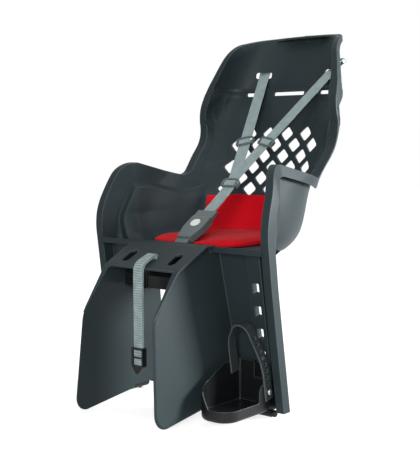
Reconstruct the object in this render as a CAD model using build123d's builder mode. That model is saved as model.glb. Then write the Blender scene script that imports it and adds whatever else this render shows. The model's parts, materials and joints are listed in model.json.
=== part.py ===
"""Rear child seat for a bicycle carrier: one moulded bucket shell and everything that is fixed to it.

The child faces -Y, X is the width and Z is up. The origin is on the carrier, under the clamp block.
"""
import os
from math import atan, cos, degrees, radians, sin, tan

from build123d import *

os.makedirs("parts", exist_ok=True)

# Shell wall and turned rim
wall = 4.0
lip_reach = 16.0
lip_top_reach = 8.0
lip_wall = 3.5

# Bucket levels: height, back centre line, half width at the hips, half width at the front edge,
# depth of the corner between back and side, squareness of that corner
bucket_levels = [
    (58.0, 266.0, 140.0, 183.0, 138.0, 2.0),
    (78.0, 290.0, 158.0, 183.0, 160.0, 2.0),
    (115.0, 308.0, 167.0, 183.0, 178.0, 2.05),
    (165.0, 322.0, 165.0, 178.0, 180.0, 2.2),
    (205.0, 331.0, 158.0, 166.0, 130.0, 2.5),
    (264.0, 350.0, 152.0, 155.0, 80.0, 2.9),
    (310.0, 371.0, 146.0, 149.0, 66.0, 3.1),
    (354.0, 391.0, 138.0, 140.0, 62.0, 3.2),
]
head_levels = [
    (356.0, 415.0, 138.0, 140.0, 88.0, 2.5),
    (388.0, 427.0, 131.0, 131.0, 92.0, 2.3),
    (428.0, 441.0, 119.0, 119.0, 92.0, 2.2),
    (490.0, 463.0, 99.0, 99.0, 92.0, 2.2),
]
front_reach = 20.0
flare_start_y = 80.0
flare_end_y = 120.0

# Side outline of the rim, from the top of the head down to the foot of the leg flange
rim_points = [
    (620.0, 500.0),
    (359.0, 441.0),
    (300.0, 310.0),
    (317.0, 262.0),
    (250.0, 182.0),
    (90.0, 216.0),
    (45.0, 114.0),
    (60.0, 5.0),
    (101.8, -240.0),
]
rim_radii = [66.0, 70.0, 60.0, 24.0, 42.0, 120.0, 250.0]
foot_z = -206.0
side_reach = 260.0

# How far the turned lip reaches behind each of those points
lip_drops = [
    (0.0, -9.0),
    (9.0, -8.0),
    (10.0, 0.0),
    (13.0, 0.0),
    (12.0, -20.0),
    (16.0, -23.0),
    (19.0, 0.0),
    (19.0, 0.0),
    (19.0, 0.0),
]
lip_radii = [58.0, 80.0, 60.0, 24.0, 30.0, 120.0, 250.0]

# Shoulder ledge between the back and the head
ledge_wall = 6.0
ledge_bead = 0.5

# Seat pan
pan_z = 62.0
pan_front_y = 50.0
pan_lip = 6.0

# Nose over the carrier, with a panel on each side of the wheel
nose_half = 80.0
nose_splay = 0.072
nose_points = [
    (54.0, 74.0),
    (30.0, 74.0),
    (-40.0, 38.0),
    (-97.0, -38.0),
    (-106.0, -216.0),
    (33.0, -197.0),
    (38.0, -190.0),
]
nose_radii = [20.0, 50.0, 45.0, 26.0, 1.5]
nose_front_y = -38.0
nose_under_z = 34.0
nose_round = 6.0
nose_edge_reach = 12.0

# Leg wells: a leaning back wall with a slotted rail, and a flange outside it
well_y = 90.0
well_ref_z = -22.0
well_lean = 0.173
flange_x = 183.0
rail_x = 153.5
rail_neck = 20.0
rail_head = 28.0
rail_step = 4.0
rail_depth = 9.0
rail_pitch = 39.0
rail_holes = 6
rail_hole_x = 13.0
rail_hole_z = 18.0
rail_hole_round = 2.0
rail_first_z = 5.0

# Lattice and belt openings in the back
lattice_pitch_x = 44.0
lattice_pitch_z = 21.5
lattice_top_z = 264.0
lattice_rows = 6
lattice_side = 20.5
lattice_corner = 4.0
belt_slot = (31.0, 12.0)
belt_slot_x = 80.0
belt_slot_z = 384.0
waist_slot = (30.0, 7.0)
waist_slot_x = 88.0
neck_slit = (72.0, 7.0)
neck_slit_z = 344.0

# Openings in the nose
nose_oval = (12.0, 26.0)
nose_oval_x = 52.0
nose_oval_y = -10.0
strap_slot = (30.0, 8.0)
strap_slot_y = -10.0

# Clearances: between fixed neighbours, round a soft piece, and between sliding faces
seat_gap = 0.3
soft_gap = 0.4
slide_gap = 0.3
bearing_gap = 0.05

# Seat cushion
pad_thick = 11.0
pad_back = 18.0
pad_clear = 1.5
pad_half = 106.0
pad_corner = 62.0
pad_notch = (48.0, 34.0)
pad_front_y = 62.5
pad_top_z = 150.0

# Harness webbing: side path and front path, from the belt bar behind the back down to the buckle tongue
webbing = 24.5
webbing_thick = 1.6
belt_reach = 21.0
harness_slot_y = 414.5
harness_side = [(250.0, 217.0), (192.0, 159.0)]
harness_bend = 30.0
belt_turn = 24.0
harness_fork_z = 186.0
harness_fork_radius = 40.0
belt_bar_r = 3.0
belt_bar = 40.0

# Webbing sliders: outside size, bars and depth
slider = (38.0, 19.0)
slider_bar = 2.8
slider_core = 6.5
slider_depth = 2.2
slider_round = 7.0
shoulder_slider_z = 247.0
chest_slider_z = 170.0

# Buckle: places along its middle line from the lower end, widths and thickness
buckle_low = (72.0, 77.5)
buckle_rise = 33.1
buckle_body_end = 60.0
buckle_end = 79.0
buckle_narrow = 30.0
buckle_wide = 44.0
buckle_shoulder = 28.0
buckle_thick = 14.0
buckle_round = 3.0
blade = (24.0, 3.0)
blade_end = 28.0
button_s = 40.0
button_r = 9.5
button_thick = 3.0
button_proud = 1.2
button_stem_r = 3.0
button_travel = 2.2
head_wall_thick = 2.0

# Crotch strap and its bar under the pan
crotch_wide = 20.0
crotch_y = 58.0
crotch_slot = (24.0, 5.0)
crotch_bar_r = 2.5
crotch_bar = 32.0
crotch_grip = 10.0
crotch_pocket = 16.0

# Frame strap: front run and rear run, its bar under the nose and its buckle
frame_strap_wide = 20.0
frame_strap_thick = 1.8
frame_front_run = [(-8.6, 43.0), (-8.6, 59.0), (-36.5, 48.6), (-45.5, 38.0), (-45.5, -127.0)]
frame_rear_run = [(-11.4, 43.0), (-11.4, 55.5), (-37.0, 45.2), (-43.0, 36.0), (-43.0, -127.0)]
frame_bend = 5.0
frame_bar_y = -10.0
frame_bar_z = 42.6
frame_bar_r = 2.5
frame_bar = 36.0
lock_top_z = -96.0
lock_tip_z = -141.0
lock_foot_z = -128.0
lock_wall = 2.6
lock_bar = 2.8
lock_window = 11.5
lock_rear_windows = (-119.0, -103.7)
lock_front_windows = (-120.3, -105.6)

# Footrest: sole, sides, heel, lug for the strap and carriage on the rail
foot_x = (104.0, 174.0)
foot_y = (-24.0, 96.0)
foot_low_z = -204.0
foot_sole = 11.0
foot_edge = 6.5
foot_wall = 3.0
foot_corner = 30.0
heel_corner = 8.0
foot_heel_z = -123.0
foot_toe_z = -184.0
foot_side_z = -162.0
foot_front_z = -140.0
foot_rise_y = 53.0
foot_lug_y = 61.0
foot_lug_z = -151.0
foot_lug_round = 20.0
carriage_wall = 4.0
carriage_low_z = -202.0
heel_pin_yz = (100.0, -209.0)
heel_barrel_r = 7.0
heel_pin_r = 3.0
heel_knob_r = 6.0
heel_knob = 8.5

# Foot strap, which leans with the rail, and its stud
foot_strap_y = 65.0
foot_strap_z = -65.0
foot_strap_wide = 20.0
foot_strap_thick = 2.5
foot_strap_bow = [(-143.0, 0.0), (-84.0, 0.0), (-54.0, 16.0), (-58.0, 40.0), (-120.0, 66.0), (-182.0, 66.0)]
foot_strap_radii = [50.0, 15.0, 20.0, 120.0]
foot_strap_holes = 8
foot_hole = (6.0, 4.0)
foot_hole_z = -154.0
foot_hole_pitch = 11.0
stud_z = -168.0
stud_r = 5.0
stud_shank_r = 3.0
stud_head = 4.0

# Clamp base on the carrier, with two jaws on one screw
base_half = 68.0
base_front = [(-9.0, 0.0), (-9.0, 21.0), (2.0, 30.0), (38.0, 30.0)]
base_post_y = 46.0
base_rear_y = 96.0
base_rib_x = -52.0
base_ribs = 9
base_rib_pitch = 5.0
base_rib = (2.4, 1.2)
base_wall = 4.0
base_top = 6.0
channel_y = (22.0, 58.0)
channel_z = 25.0
screw_y = 40.0
screw_z = 12.5
screw_r = 4.0
screw_half = 60.0
wheel_r = 11.5
wheel_half = 8.0
wheel_ribs = 16
wheel_rib_r = 1.4
bearing_web = 4.0
jaw_inner_x = 16.0
jaw_outer_x = 67.0
jaw_top_z = 24.0
jaw_low_z = 2.0
claw_low_z = -13.0
tube_x = 58.0
tube_r = 5.0
hook_x = 55.0
bolt_x = 45.0
bolt_ys = (70.0, 86.0)
bolt_r = 3.0
bolt_head_r = 6.0
bolt_length = 17.0
nut_across = 10.0
nut_thick = 5.0


def bucket_half(level, grow):
    """The four stretches of one half of a level: front edge, flare, side and corner to the back."""
    z, back_y, hip_x, front_x, corner, square = level
    start_y = back_y - corner
    bend = [(hip_x + grow, start_y)]
    for angle in (25, 45, 65):
        x = (hip_x + grow) * cos(radians(angle)) ** (2 / square)
        y = start_y + (corner + grow) * sin(radians(angle)) ** (2 / square)
        bend.append((x, y))
    bend.append((0.0, back_y + grow))
    front = [(front_x + grow, front_reach), (front_x + grow, flare_start_y)]
    flare = [front[1], (hip_x + grow, flare_end_y)]
    side = [flare[1], bend[0]]
    return front, flare, side, bend


def bucket_edges(level, grow):
    """Draws the right half of one level of the bucket, and gives its front end and its back centre."""
    front, flare, side, bend = bucket_half(level, grow)
    Line(*front)
    Spline(*flare, tangents=[(0, 1), (0, 1)])
    Line(*side)
    Spline(*bend, tangents=[(0, 1), (-1, 0)])
    return front[0], bend[-1]


def between_faces(pairs):
    """One closed face for each pair of a level and its growth inside and outside."""
    faces = []
    for inner_level, inside, outer_level, outside in pairs:
        with BuildSketch(Plane.XY.offset(inner_level[0])) as sketch:
            with BuildLine():
                inner_front, inner_back = bucket_edges(inner_level, inside)
                outer_front, outer_back = bucket_edges(outer_level, outside)
                Line(inner_front, outer_front)
                Line(inner_back, outer_back)
            make_face()
        faces.append(sketch.sketch)
    return faces


def bucket_faces(levels, inside, outside):
    """The closed faces of a wall of the bucket."""
    return between_faces([(level, inside, level, outside) for level in levels])


def level_at(levels, z):
    """A level of the bucket worked out between two given ones."""
    for low, high in zip(levels, levels[1:]):
        if low[0] <= z <= high[0]:
            part = (z - low[0]) / (high[0] - low[0])
            return tuple(a + (b - a) * part for a, b in zip(low, high))


def well_wall_y(z):
    """Front of the leaning back wall of the leg wells at a height."""
    return well_y - well_lean * (z - well_ref_z)


def panel_x(z, inset):
    """Half width of the splayed nose panels at a height."""
    return nose_half - nose_splay * z - inset


# Side view regions: all that lies behind the rim outline, and two bands along it
with BuildSketch(Plane.YZ) as rim_region:
    with BuildLine():
        FilletPolyline(*rim_points, radius=rim_radii)
        Polyline(rim_points[-1], (rim_points[0][0], rim_points[-1][1]), rim_points[0])
    make_face()

with BuildSketch(Plane.YZ) as web_band:
    add(rim_region.sketch_local)
    offset(rim_region.sketch_local, amount=-wall, mode=Mode.SUBTRACT)

lip_points = [(y + dy, z + dz) for (y, z), (dy, dz) in zip(rim_points, lip_drops)]
with BuildSketch(Plane.YZ) as lip_band:
    add(rim_region.sketch_local)
    with BuildLine():
        FilletPolyline(*lip_points, radius=lip_radii)
        Polyline(lip_points[-1], (lip_points[0][0], lip_points[-1][1]), lip_points[0])
    make_face(mode=Mode.SUBTRACT)

# Bucket wall, from the hips to the shoulders
with BuildPart() as bucket_wall:
    loft(bucket_faces(bucket_levels, 0, wall))
    extrude(rim_region.sketch, amount=side_reach, mode=Mode.INTERSECT)

# Head wall, set back from the shoulders for a helmet
with BuildPart() as head_wall:
    loft(bucket_faces(head_levels, 0, wall))
    extrude(rim_region.sketch, amount=side_reach, mode=Mode.INTERSECT)

# Shoulder ledge that joins the two walls
with BuildPart() as shoulder_ledge:
    ledge_face, = between_faces([(bucket_levels[-1], -ledge_bead, head_levels[0], wall + ledge_bead)])
    extrude(ledge_face, amount=ledge_wall / 2, both=True)
    extrude(rim_region.sketch, amount=side_reach, mode=Mode.INTERSECT)

# Rim web and turned lip along the whole outline
shoulder_level = tuple((low + high) / 2 for low, high in zip(bucket_levels[-1], head_levels[0]))
rim_levels = bucket_levels[:-1] + [shoulder_level] + head_levels[1:]


def lip_outside(level):
    """How far the lip stands out from the wall: in full up to the shoulder, less towards the top."""
    head_share = (level[0] - shoulder_level[0]) / (head_levels[-1][0] - shoulder_level[0])
    return lip_reach - max(0, head_share) * (lip_reach - lip_top_reach)


lip_places = [(level, lip_outside(level)) for level in rim_levels]
with BuildPart() as rim_web:
    loft(between_faces([(level, wall / 2, level, out - lip_wall / 2) for level, out in lip_places]))
    extrude(web_band.sketch, amount=side_reach, mode=Mode.INTERSECT)

with BuildPart() as rim_lip:
    loft(between_faces([(level, out - lip_wall, level, out) for level, out in lip_places]))
    extrude(lip_band.sketch, amount=side_reach, mode=Mode.INTERSECT)

# Seat pan with a small upstand at its front edge
with BuildPart() as seat_pan:
    with BuildSketch(Plane.XY.offset(pan_z)):
        with BuildLine():
            pan_front, pan_back = bucket_edges(level_at(bucket_levels, pan_z), wall / 2)
            Polyline(pan_front, (0, pan_front[1]), pan_back)
        make_face()
        Rectangle(2 * side_reach, 2 * pan_front_y, mode=Mode.SUBTRACT)
    extrude(amount=wall)
    with BuildSketch(Plane.XY.offset(pan_z)):
        with Locations((0, pan_front_y)):
            Rectangle(pan_front[0], wall, align=Align.MIN)
    extrude(amount=wall + pan_lip)

# Nose and panel: a splayed block cut to the side outline, hollowed from below
nose_rear = (well_wall_y(nose_points[-1][1]) + wall, nose_points[-1][1])
nose_high = nose_points[0][1]
knee_z = nose_points[3][1]
inner_top = pan_z + wall / 2
with BuildSketch(Plane.YZ) as nose_region:
    with BuildLine():
        FilletPolyline(*nose_points, radius=nose_radii)
        Polyline(
            nose_points[-1],
            nose_rear,
            (well_wall_y(inner_top) + wall, inner_top),
            (nose_points[0][0], inner_top),
            nose_points[0],
        )
    make_face()

with BuildSketch(Plane.YZ) as tunnel_region:
    Polygon(
        (side_reach, pan_z),
        (pan_front_y, pan_z),
        (nose_points[1][0], nose_high - wall - 1),
        (nose_front_y, nose_under_z),
        (nose_front_y, 2 * nose_high),
        (-side_reach, 2 * nose_high),
        (-side_reach, -side_reach),
        (side_reach, -side_reach),
        align=None,
    )


def splayed_section(inset):
    """Front view of half the splayed space between the panels, from below their feet to above the nose."""
    low = -side_reach
    high = side_reach
    Polygon((0, low), (panel_x(low, inset), low), (panel_x(high, inset), high), (0, high), align=None)


with BuildPart() as tunnel:
    with BuildSketch(Plane.XZ):
        splayed_section(wall)
    extrude(amount=side_reach, both=True)
    extrude(tunnel_region.sketch, amount=side_reach, mode=Mode.INTERSECT)

with BuildPart() as nose:
    with BuildSketch(Plane.XZ):
        splayed_section(0)
    extrude(amount=side_reach, both=True)
    extrude(nose_region.sketch, amount=side_reach, mode=Mode.INTERSECT)
    slope_edges = nose.edges().filter_by(GeomType.LINE).filter_by(
        lambda e: e.center().X > nose_half / 2 and e.length > 2 * nose_round
        and -nose_half < e.center().Y < pan_front_y and e.center().Z > knee_z
    )
    fillet(slope_edges, radius=nose_round)

# Turned edge along the slanted front of the panel, fading out towards the knee
with BuildSketch(Plane.YZ) as slant_band:
    add(nose_region.sketch_local)
    offset(nose_region.sketch_local, amount=-wall, mode=Mode.SUBTRACT)
    Polygon(
        (pan_front_y, nose_high),
        (pan_front_y, nose_high - 2 * wall),
        (nose_front_y, knee_z),
        (nose_points[4][0], knee_z),
        (nose_points[4][0], nose_high),
        align=None,
        mode=Mode.INTERSECT,
    )

with BuildPart() as slant_edge:
    extrude(slant_band.sketch, amount=side_reach)
    with BuildSketch(Plane.XZ):
        Polygon(
            (panel_x(knee_z, 2 * wall), knee_z),
            (panel_x(knee_z, wall / 2), knee_z),
            (panel_x(nose_high, 0) + nose_edge_reach, nose_high),
            (panel_x(nose_high, 2 * wall), nose_high),
            align=None,
        )
    extrude(amount=side_reach, both=True, mode=Mode.INTERSECT)

# Leaning back wall of the leg well, with the slotted rail for the footrest
lean = degrees(atan(well_lean))
rail_plane = Plane(
    origin=(0, well_wall_y(inner_top), inner_top),
    x_dir=(1, 0, 0),
    z_dir=(0, sin(radians(lean)), -cos(radians(lean))),
)
rail_length = (inner_top - foot_z) / cos(radians(lean)) - wall
with BuildPart() as well_wall:
    with BuildSketch(Plane.YZ):
        Polygon(
            (well_wall_y(inner_top), inner_top),
            (well_wall_y(inner_top) + wall, inner_top),
            (well_wall_y(foot_z) + wall, foot_z),
            (well_wall_y(foot_z), foot_z),
            align=None,
        )
    extrude(amount=flange_x + wall / 2)
    with BuildSketch(rail_plane):
        with Locations((rail_x, 0)):
            Rectangle(rail_neck, 2 * rail_step)
        with Locations((rail_x, (rail_step + rail_depth) / 2)):
            Rectangle(rail_head, rail_depth - rail_step)
    extrude(amount=rail_length)
    with BuildSketch(Plane(origin=rail_plane.origin, x_dir=(1, 0, 0), z_dir=-rail_plane.y_dir)):
        for step in range(rail_holes):
            drop = (inner_top - rail_first_z + step * rail_pitch) / cos(radians(lean))
            with Locations((rail_x, drop)):
                RectangleRounded(rail_hole_x, rail_hole_z, rail_hole_round)
    extrude(amount=4 * rail_depth, both=True, mode=Mode.SUBTRACT)

# Flange outside the leg well, a channel that carries the rim on down to the foot
flange_top = bucket_levels[0][0]
flange_outline = [
    (0, flange_top),
    (well_wall_y(flange_top) + wall / 2, flange_top),
    (well_wall_y(foot_z) + wall / 2, foot_z),
    (0, foot_z),
]
flange_layers = [
    (rim_region, 0, wall),
    (web_band, wall / 2, lip_reach - lip_wall / 2),
    (lip_band, lip_reach - lip_wall, lip_reach),
]
with BuildPart() as flange:
    for region, near, far in flange_layers:
        with BuildSketch(Plane.YZ.offset(flange_x + near)):
            add(region.sketch_local)
            Polygon(*flange_outline, align=None, mode=Mode.INTERSECT)
        extrude(amount=far - near)

# Openings of the right half: lattice, belt slots, neck slit, nose oval and strap slot
with BuildPart() as back_cuts:
    with BuildSketch(Plane.XZ):
        for row in range(lattice_rows):
            across = 4 if row % 2 == 0 else 5
            with Locations((0, lattice_top_z - row * lattice_pitch_z)):
                with GridLocations(lattice_pitch_x, lattice_pitch_x, across, 1):
                    RectangleRounded(lattice_side, lattice_side, lattice_corner, rotation=45)
        with Locations((belt_slot_x, belt_slot_z)):
            RectangleRounded(*belt_slot, belt_slot[1] / 3)
        with Locations((waist_slot_x, neck_slit_z)):
            RectangleRounded(*waist_slot, waist_slot[1] / 3)
        with Locations((0, neck_slit_z)):
            RectangleRounded(*neck_slit, neck_slit[1] / 3)
        Rectangle(side_reach, 4 * side_reach, align=(Align.MIN, Align.CENTER), mode=Mode.INTERSECT)
    extrude(amount=-2 * side_reach)

with BuildPart() as nose_cuts:
    with BuildSketch(Plane.XY):
        with Locations((nose_oval_x, nose_oval_y)):
            SlotOverall(nose_oval[1], nose_oval[0], rotation=90)
        with Locations((0, strap_slot_y)):
            RectangleRounded(*strap_slot, strap_slot[1] / 3)
    extrude(amount=2 * nose_high)

with BuildPart() as seat_shell:
    add([nose.part, slant_edge.part, well_wall.part])
    add([tunnel.part, nose_cuts.part], mode=Mode.SUBTRACT)
    add([seat_pan.part, flange.part])
    with BuildSketch(Plane.XY.offset(pan_z)):
        with Locations((0, crotch_y)):
            RectangleRounded(*crotch_slot, crotch_slot[1] / 3)
    extrude(amount=wall, mode=Mode.SUBTRACT)
    with Locations([(bolt_x, y, pan_z + wall) for y in bolt_ys]):
        CounterSinkHole(bolt_r + seat_gap, bolt_head_r + seat_gap, depth=wall)
    add([bucket_wall.part, head_wall.part, shoulder_ledge.part, rim_web.part, rim_lip.part])
    add(back_cuts.part, mode=Mode.SUBTRACT)
    mirror(about=Plane.YZ)
seat_shell.part.label = "seat_shell"
export_step(seat_shell.part, "parts/seat_shell.step")

# Seat cushion: a flat pad on the pan that turns up along the back
pad_low = pan_z + wall + soft_gap
pad_between = [level for level in bucket_levels if pad_low < level[0] < pad_top_z]
pad_levels = [level_at(bucket_levels, pad_low)] + pad_between + [level_at(bucket_levels, pad_top_z)]
with BuildPart() as seat_cushion:
    loft(bucket_faces(pad_levels, -pad_back, -pad_clear))
    with BuildSketch(Plane.XY.offset(pad_low)):
        with BuildLine():
            pad_front, pad_rear = bucket_edges(pad_levels[0], -pad_clear)
            Polyline(pad_front, (0, pad_front[1]), pad_rear)
        make_face()
    extrude(amount=pad_thick)
    with BuildSketch(Plane.XY):
        with Locations((0, pad_front_y)):
            RectangleRounded(2 * pad_half, 2 * side_reach, pad_corner, align=(Align.CENTER, Align.MIN))
        with Locations((0, pad_front_y)):
            Rectangle(pad_notch[0], 2 * pad_notch[1], mode=Mode.SUBTRACT)
    extrude(amount=side_reach, mode=Mode.INTERSECT)
    mirror(about=Plane.YZ)
seat_cushion.part.label = "seat_cushion"
export_step(seat_cushion.part, "parts/seat_cushion.step")

# Buckle axes, which the end of the harness lies along
rise = radians(buckle_rise)
buckle_plane = Plane(origin=(0, *buckle_low), x_dir=(1, 0, 0), z_dir=(0, -sin(rise), cos(rise)))
head_start = buckle_body_end + soft_gap
head_floor = head_start + 2 * head_wall_thick

# Shoulder straps: taut webbing from a bar behind the belt slot to the buckle tongue, left over right
fork_y, fork_z = harness_side[0]
chest_y, chest_z = harness_side[1]
belt_rise = (belt_slot_z - fork_z) / (harness_slot_y - fork_y)
belt_pull = belt_slot_x / (belt_slot_z - harness_fork_z)
belt_lean = atan(belt_rise)
chest_lean = atan((fork_z - chest_z) / (fork_y - chest_y))
layer_step = webbing_thick + seat_gap
belt_loop_r = belt_bar_r + seat_gap + webbing_thick
shoulder_x = (shoulder_slider_z - harness_fork_z) * belt_pull


def harness_plane(x, z, lean, pull, layer):
    """Plane on the webbing at a height, facing the child, with its first axis across the strap."""
    run = Vector(-pull, -1 / tan(lean), -1)
    face = Vector(0, -sin(lean), cos(lean))
    origin = Vector(x, fork_y + (z - fork_z) / tan(lean), z) + face * (layer * layer_step)
    return Plane(origin=origin, x_dir=face.cross(run), z_dir=face)


def belt_bar_plane(side):
    """Plane across the middle of the bar behind a belt slot."""
    middle = (
        side * (belt_slot_x + belt_reach * belt_pull),
        harness_slot_y + belt_reach / belt_rise,
        belt_slot_z + belt_reach,
    )
    turn = radians(belt_turn)
    return Plane(origin=middle, x_dir=(0, 0, 1), z_dir=(cos(turn), -side * sin(turn), 0))


def webbing_strap(side, layer):
    """One shoulder strap: a sheet to the chest, a twisting run to the slot and a loop round its bar."""
    slider_plane = harness_plane(side * shoulder_x, shoulder_slider_z, belt_lean, side * belt_pull, layer)
    bar_plane = belt_bar_plane(side)
    sheet_plane = buckle_plane.offset(layer * layer_step)
    run = bar_plane.origin - slider_plane.origin
    run_start = slider_plane.origin - run.normalized() * slider_core / 2
    low_end = sheet_plane.from_local_coords((0, head_floor + soft_gap, 0))
    low_turn = sheet_plane.from_local_coords((0, buckle_end + webbing / 4, 0))
    lift_y = -layer * layer_step * sin(chest_lean)
    lift_z = layer * layer_step * cos(chest_lean)
    side_path = [
        (slider_plane.origin.Y, slider_plane.origin.Z),
        (fork_y + lift_y, fork_z + lift_z),
        (chest_y + lift_y, chest_z + lift_z),
        (low_turn.Y, low_turn.Z),
        (low_end.Y, low_end.Z),
    ]
    front_path = [(side * shoulder_x, shoulder_slider_z), (0, harness_fork_z), (0, pan_z)]
    with BuildPart() as strap:
        with BuildSketch(Plane.YZ):
            with BuildLine():
                FilletPolyline(*side_path, radius=harness_bend)
            trace(line_width=webbing_thick)
        extrude(amount=side_reach, both=True)
        with BuildSketch(Plane.XZ):
            with BuildLine():
                FilletPolyline(*front_path, radius=harness_fork_radius)
            trace(line_width=webbing)
        extrude(amount=2 * side_reach, both=True, mode=Mode.INTERSECT)
        with BuildSketch(Plane(origin=run_start, x_dir=slider_plane.x_dir, z_dir=run)):
            Rectangle(webbing, webbing_thick - 2 * bearing_gap)
        with BuildSketch(Plane(origin=bar_plane.origin, x_dir=bar_plane.z_dir, z_dir=run)):
            Rectangle(webbing - 2 * bearing_gap, webbing_thick)
        loft(ruled=True)
        with BuildSketch(bar_plane):
            Circle(belt_loop_r)
        extrude(amount=webbing / 2, both=True)
        with BuildSketch(bar_plane):
            Circle(belt_bar_r + seat_gap)
        extrude(amount=webbing, both=True, mode=Mode.SUBTRACT)
    return strap.part


shoulder_strap_right = webbing_strap(1, 0)
shoulder_strap_right.label = "shoulder_strap_right"
export_step(shoulder_strap_right, "parts/shoulder_strap_right.step")
shoulder_strap_left = webbing_strap(-1, 1)
shoulder_strap_left.label = "shoulder_strap_left"
export_step(shoulder_strap_left, "parts/shoulder_strap_left.step")

# Belt bars that keep the straps from pulling through their slots
for name, side in (("belt_stop_right", 1), ("belt_stop_left", -1)):
    with BuildPart() as belt_stop:
        with BuildSketch(belt_bar_plane(side)):
            Circle(belt_bar_r)
        extrude(amount=belt_bar / 2, both=True)
        chamfer(belt_stop.edges().filter_by(GeomType.CIRCLE), length=belt_bar_r / 4)
    belt_stop.part.label = name
    export_step(belt_stop.part, f"parts/{name}.step")


def webbing_slider(plane, name, layers):
    """An oval ring in front of the webbing, with a core bar behind it that the webbing goes over."""
    front = (webbing_thick / 2) + (layers - 1) * layer_step + soft_gap
    rear = -webbing_thick / 2 - soft_gap
    depth = front + slider_depth - (rear - slider_depth)
    inside = (slider[0] / 2 - slider_bar - soft_gap) * 2
    inside_round = slider_round - slider_bar
    with BuildPart() as ring:
        with BuildSketch(plane.offset(rear - slider_depth)):
            RectangleRounded(*slider, slider_round)
            RectangleRounded(inside, slider[1] - 2 * slider_bar, inside_round, mode=Mode.SUBTRACT)
        extrude(amount=depth)
        with BuildSketch(plane.offset(rear - slider_depth)):
            Rectangle(inside, 2 * slider[1])
        extrude(amount=depth - slider_depth, mode=Mode.SUBTRACT)
        with BuildSketch(plane.offset(rear - slider_depth)):
            Rectangle(inside + slider_bar, slider_core)
        extrude(amount=slider_depth)
    ring.part.label = name
    export_step(ring.part, f"parts/{name}.step")


# Length sliders on the shoulder straps, and the slider that holds both straps at the chest
right_plane = harness_plane(shoulder_x, shoulder_slider_z, belt_lean, belt_pull, 0)
left_plane = harness_plane(-shoulder_x, shoulder_slider_z, belt_lean, -belt_pull, 1)
webbing_slider(right_plane, "shoulder_slider_right", 1)
webbing_slider(left_plane, "shoulder_slider_left", 1)
webbing_slider(harness_plane(0, chest_slider_z, chest_lean, 0, 0), "chest_slider", 2)

# Buckle body: tapered, hollow for the tongue and the crotch strap, with a well for the button
tongue_mouth = Plane(
    origin=buckle_plane.from_local_coords((0, buckle_body_end, 0)),
    x_dir=(1, 0, 0),
    z_dir=buckle_plane.y_dir,
)
crotch_mouth = Plane(origin=buckle_plane.origin, x_dir=(1, 0, 0), z_dir=buckle_plane.y_dir)
button_top = Plane(
    origin=buckle_plane.from_local_coords((0, button_s, buckle_thick / 2)),
    x_dir=(1, 0, 0),
    z_dir=buckle_plane.z_dir,
)
stem_length = buckle_thick / 2 + button_proud - button_thick + blade[1]
with BuildPart() as buckle_body:
    with BuildSketch(buckle_plane.offset(-buckle_thick / 2)) as buckle_outline:
        Polygon(
            (-buckle_narrow / 2, 0),
            (buckle_narrow / 2, 0),
            (buckle_wide / 2, buckle_shoulder),
            (buckle_wide / 2, buckle_body_end),
            (-buckle_wide / 2, buckle_body_end),
            (-buckle_wide / 2, buckle_shoulder),
            align=None,
        )
        fillet(buckle_outline.vertices(), radius=buckle_round)
    extrude(amount=buckle_thick)
    buckle_face = buckle_body.faces().sort_by(Axis(buckle_plane.origin, buckle_plane.z_dir))[-1]
    fillet(buckle_face.edges(), radius=buckle_round)
    with BuildSketch(tongue_mouth):
        Rectangle(blade[0] + 2 * soft_gap, blade[1] + 2 * soft_gap)
    extrude(amount=blade_end - soft_gap - buckle_body_end, mode=Mode.SUBTRACT)
    with BuildSketch(crotch_mouth):
        Rectangle(crotch_wide + 2 * soft_gap, webbing_thick + 2 * soft_gap)
    extrude(amount=crotch_grip + soft_gap, mode=Mode.SUBTRACT)
    with BuildSketch(button_top):
        Circle(button_r + slide_gap)
    extrude(amount=-buckle_thick / 2, mode=Mode.SUBTRACT)
    with BuildSketch(button_top.offset(button_proud - button_thick)):
        Circle(button_stem_r + bearing_gap)
    extrude(amount=-stem_length - button_travel - slide_gap, mode=Mode.SUBTRACT)
buckle_body.part.label = "buckle_body"
export_step(buckle_body.part, "parts/buckle_body.step")

# Buckle tongue: a flat blade with a hole for the button stem, and a head that the straps are sewn into
head_low = -webbing_thick / 2 - soft_gap
head_high = webbing_thick / 2 + layer_step + soft_gap
with BuildPart() as buckle_tongue:
    with BuildSketch(tongue_mouth.offset(soft_gap)):
        with Locations((0, -(head_low + head_high) / 2)):
            Rectangle(buckle_wide, head_high - head_low + 2 * head_wall_thick)
    extrude(amount=buckle_end - head_start)
    fillet(buckle_tongue.edges().filter_by(Axis(buckle_plane.origin, buckle_plane.y_dir)), head_wall_thick)
    with BuildSketch(tongue_mouth.offset(buckle_end - buckle_body_end)):
        with Locations((0, -(head_low + head_high) / 2)):
            Rectangle(webbing + 2 * soft_gap, head_high - head_low)
    extrude(amount=head_floor - buckle_end, mode=Mode.SUBTRACT)
    with BuildSketch(buckle_plane.offset(-blade[1] / 2)):
        with Locations((0, blade_end)):
            Rectangle(blade[0], head_start - blade_end, align=(Align.CENTER, Align.MIN))
        with Locations((0, button_s)):
            Circle(button_stem_r + blade[1] / 2, mode=Mode.SUBTRACT)
    extrude(amount=blade[1])
buckle_tongue.part.label = "buckle_tongue"
export_step(buckle_tongue.part, "parts/buckle_tongue.step")

# Round release button, guided by its stem
with BuildPart() as buckle_button:
    with BuildSketch(button_top.offset(button_proud - button_thick)):
        Circle(button_r)
    extrude(amount=button_thick)
    fillet(buckle_button.edges().filter_by(GeomType.CIRCLE).sort_by(Axis.Z)[-1], radius=button_thick / 4)
    with BuildSketch(button_top.offset(button_proud - button_thick)):
        Circle(button_stem_r)
    extrude(amount=-stem_length)
buckle_button.part.label = "buckle_button"
export_step(buckle_button.part, "parts/buckle_button.step")


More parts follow.
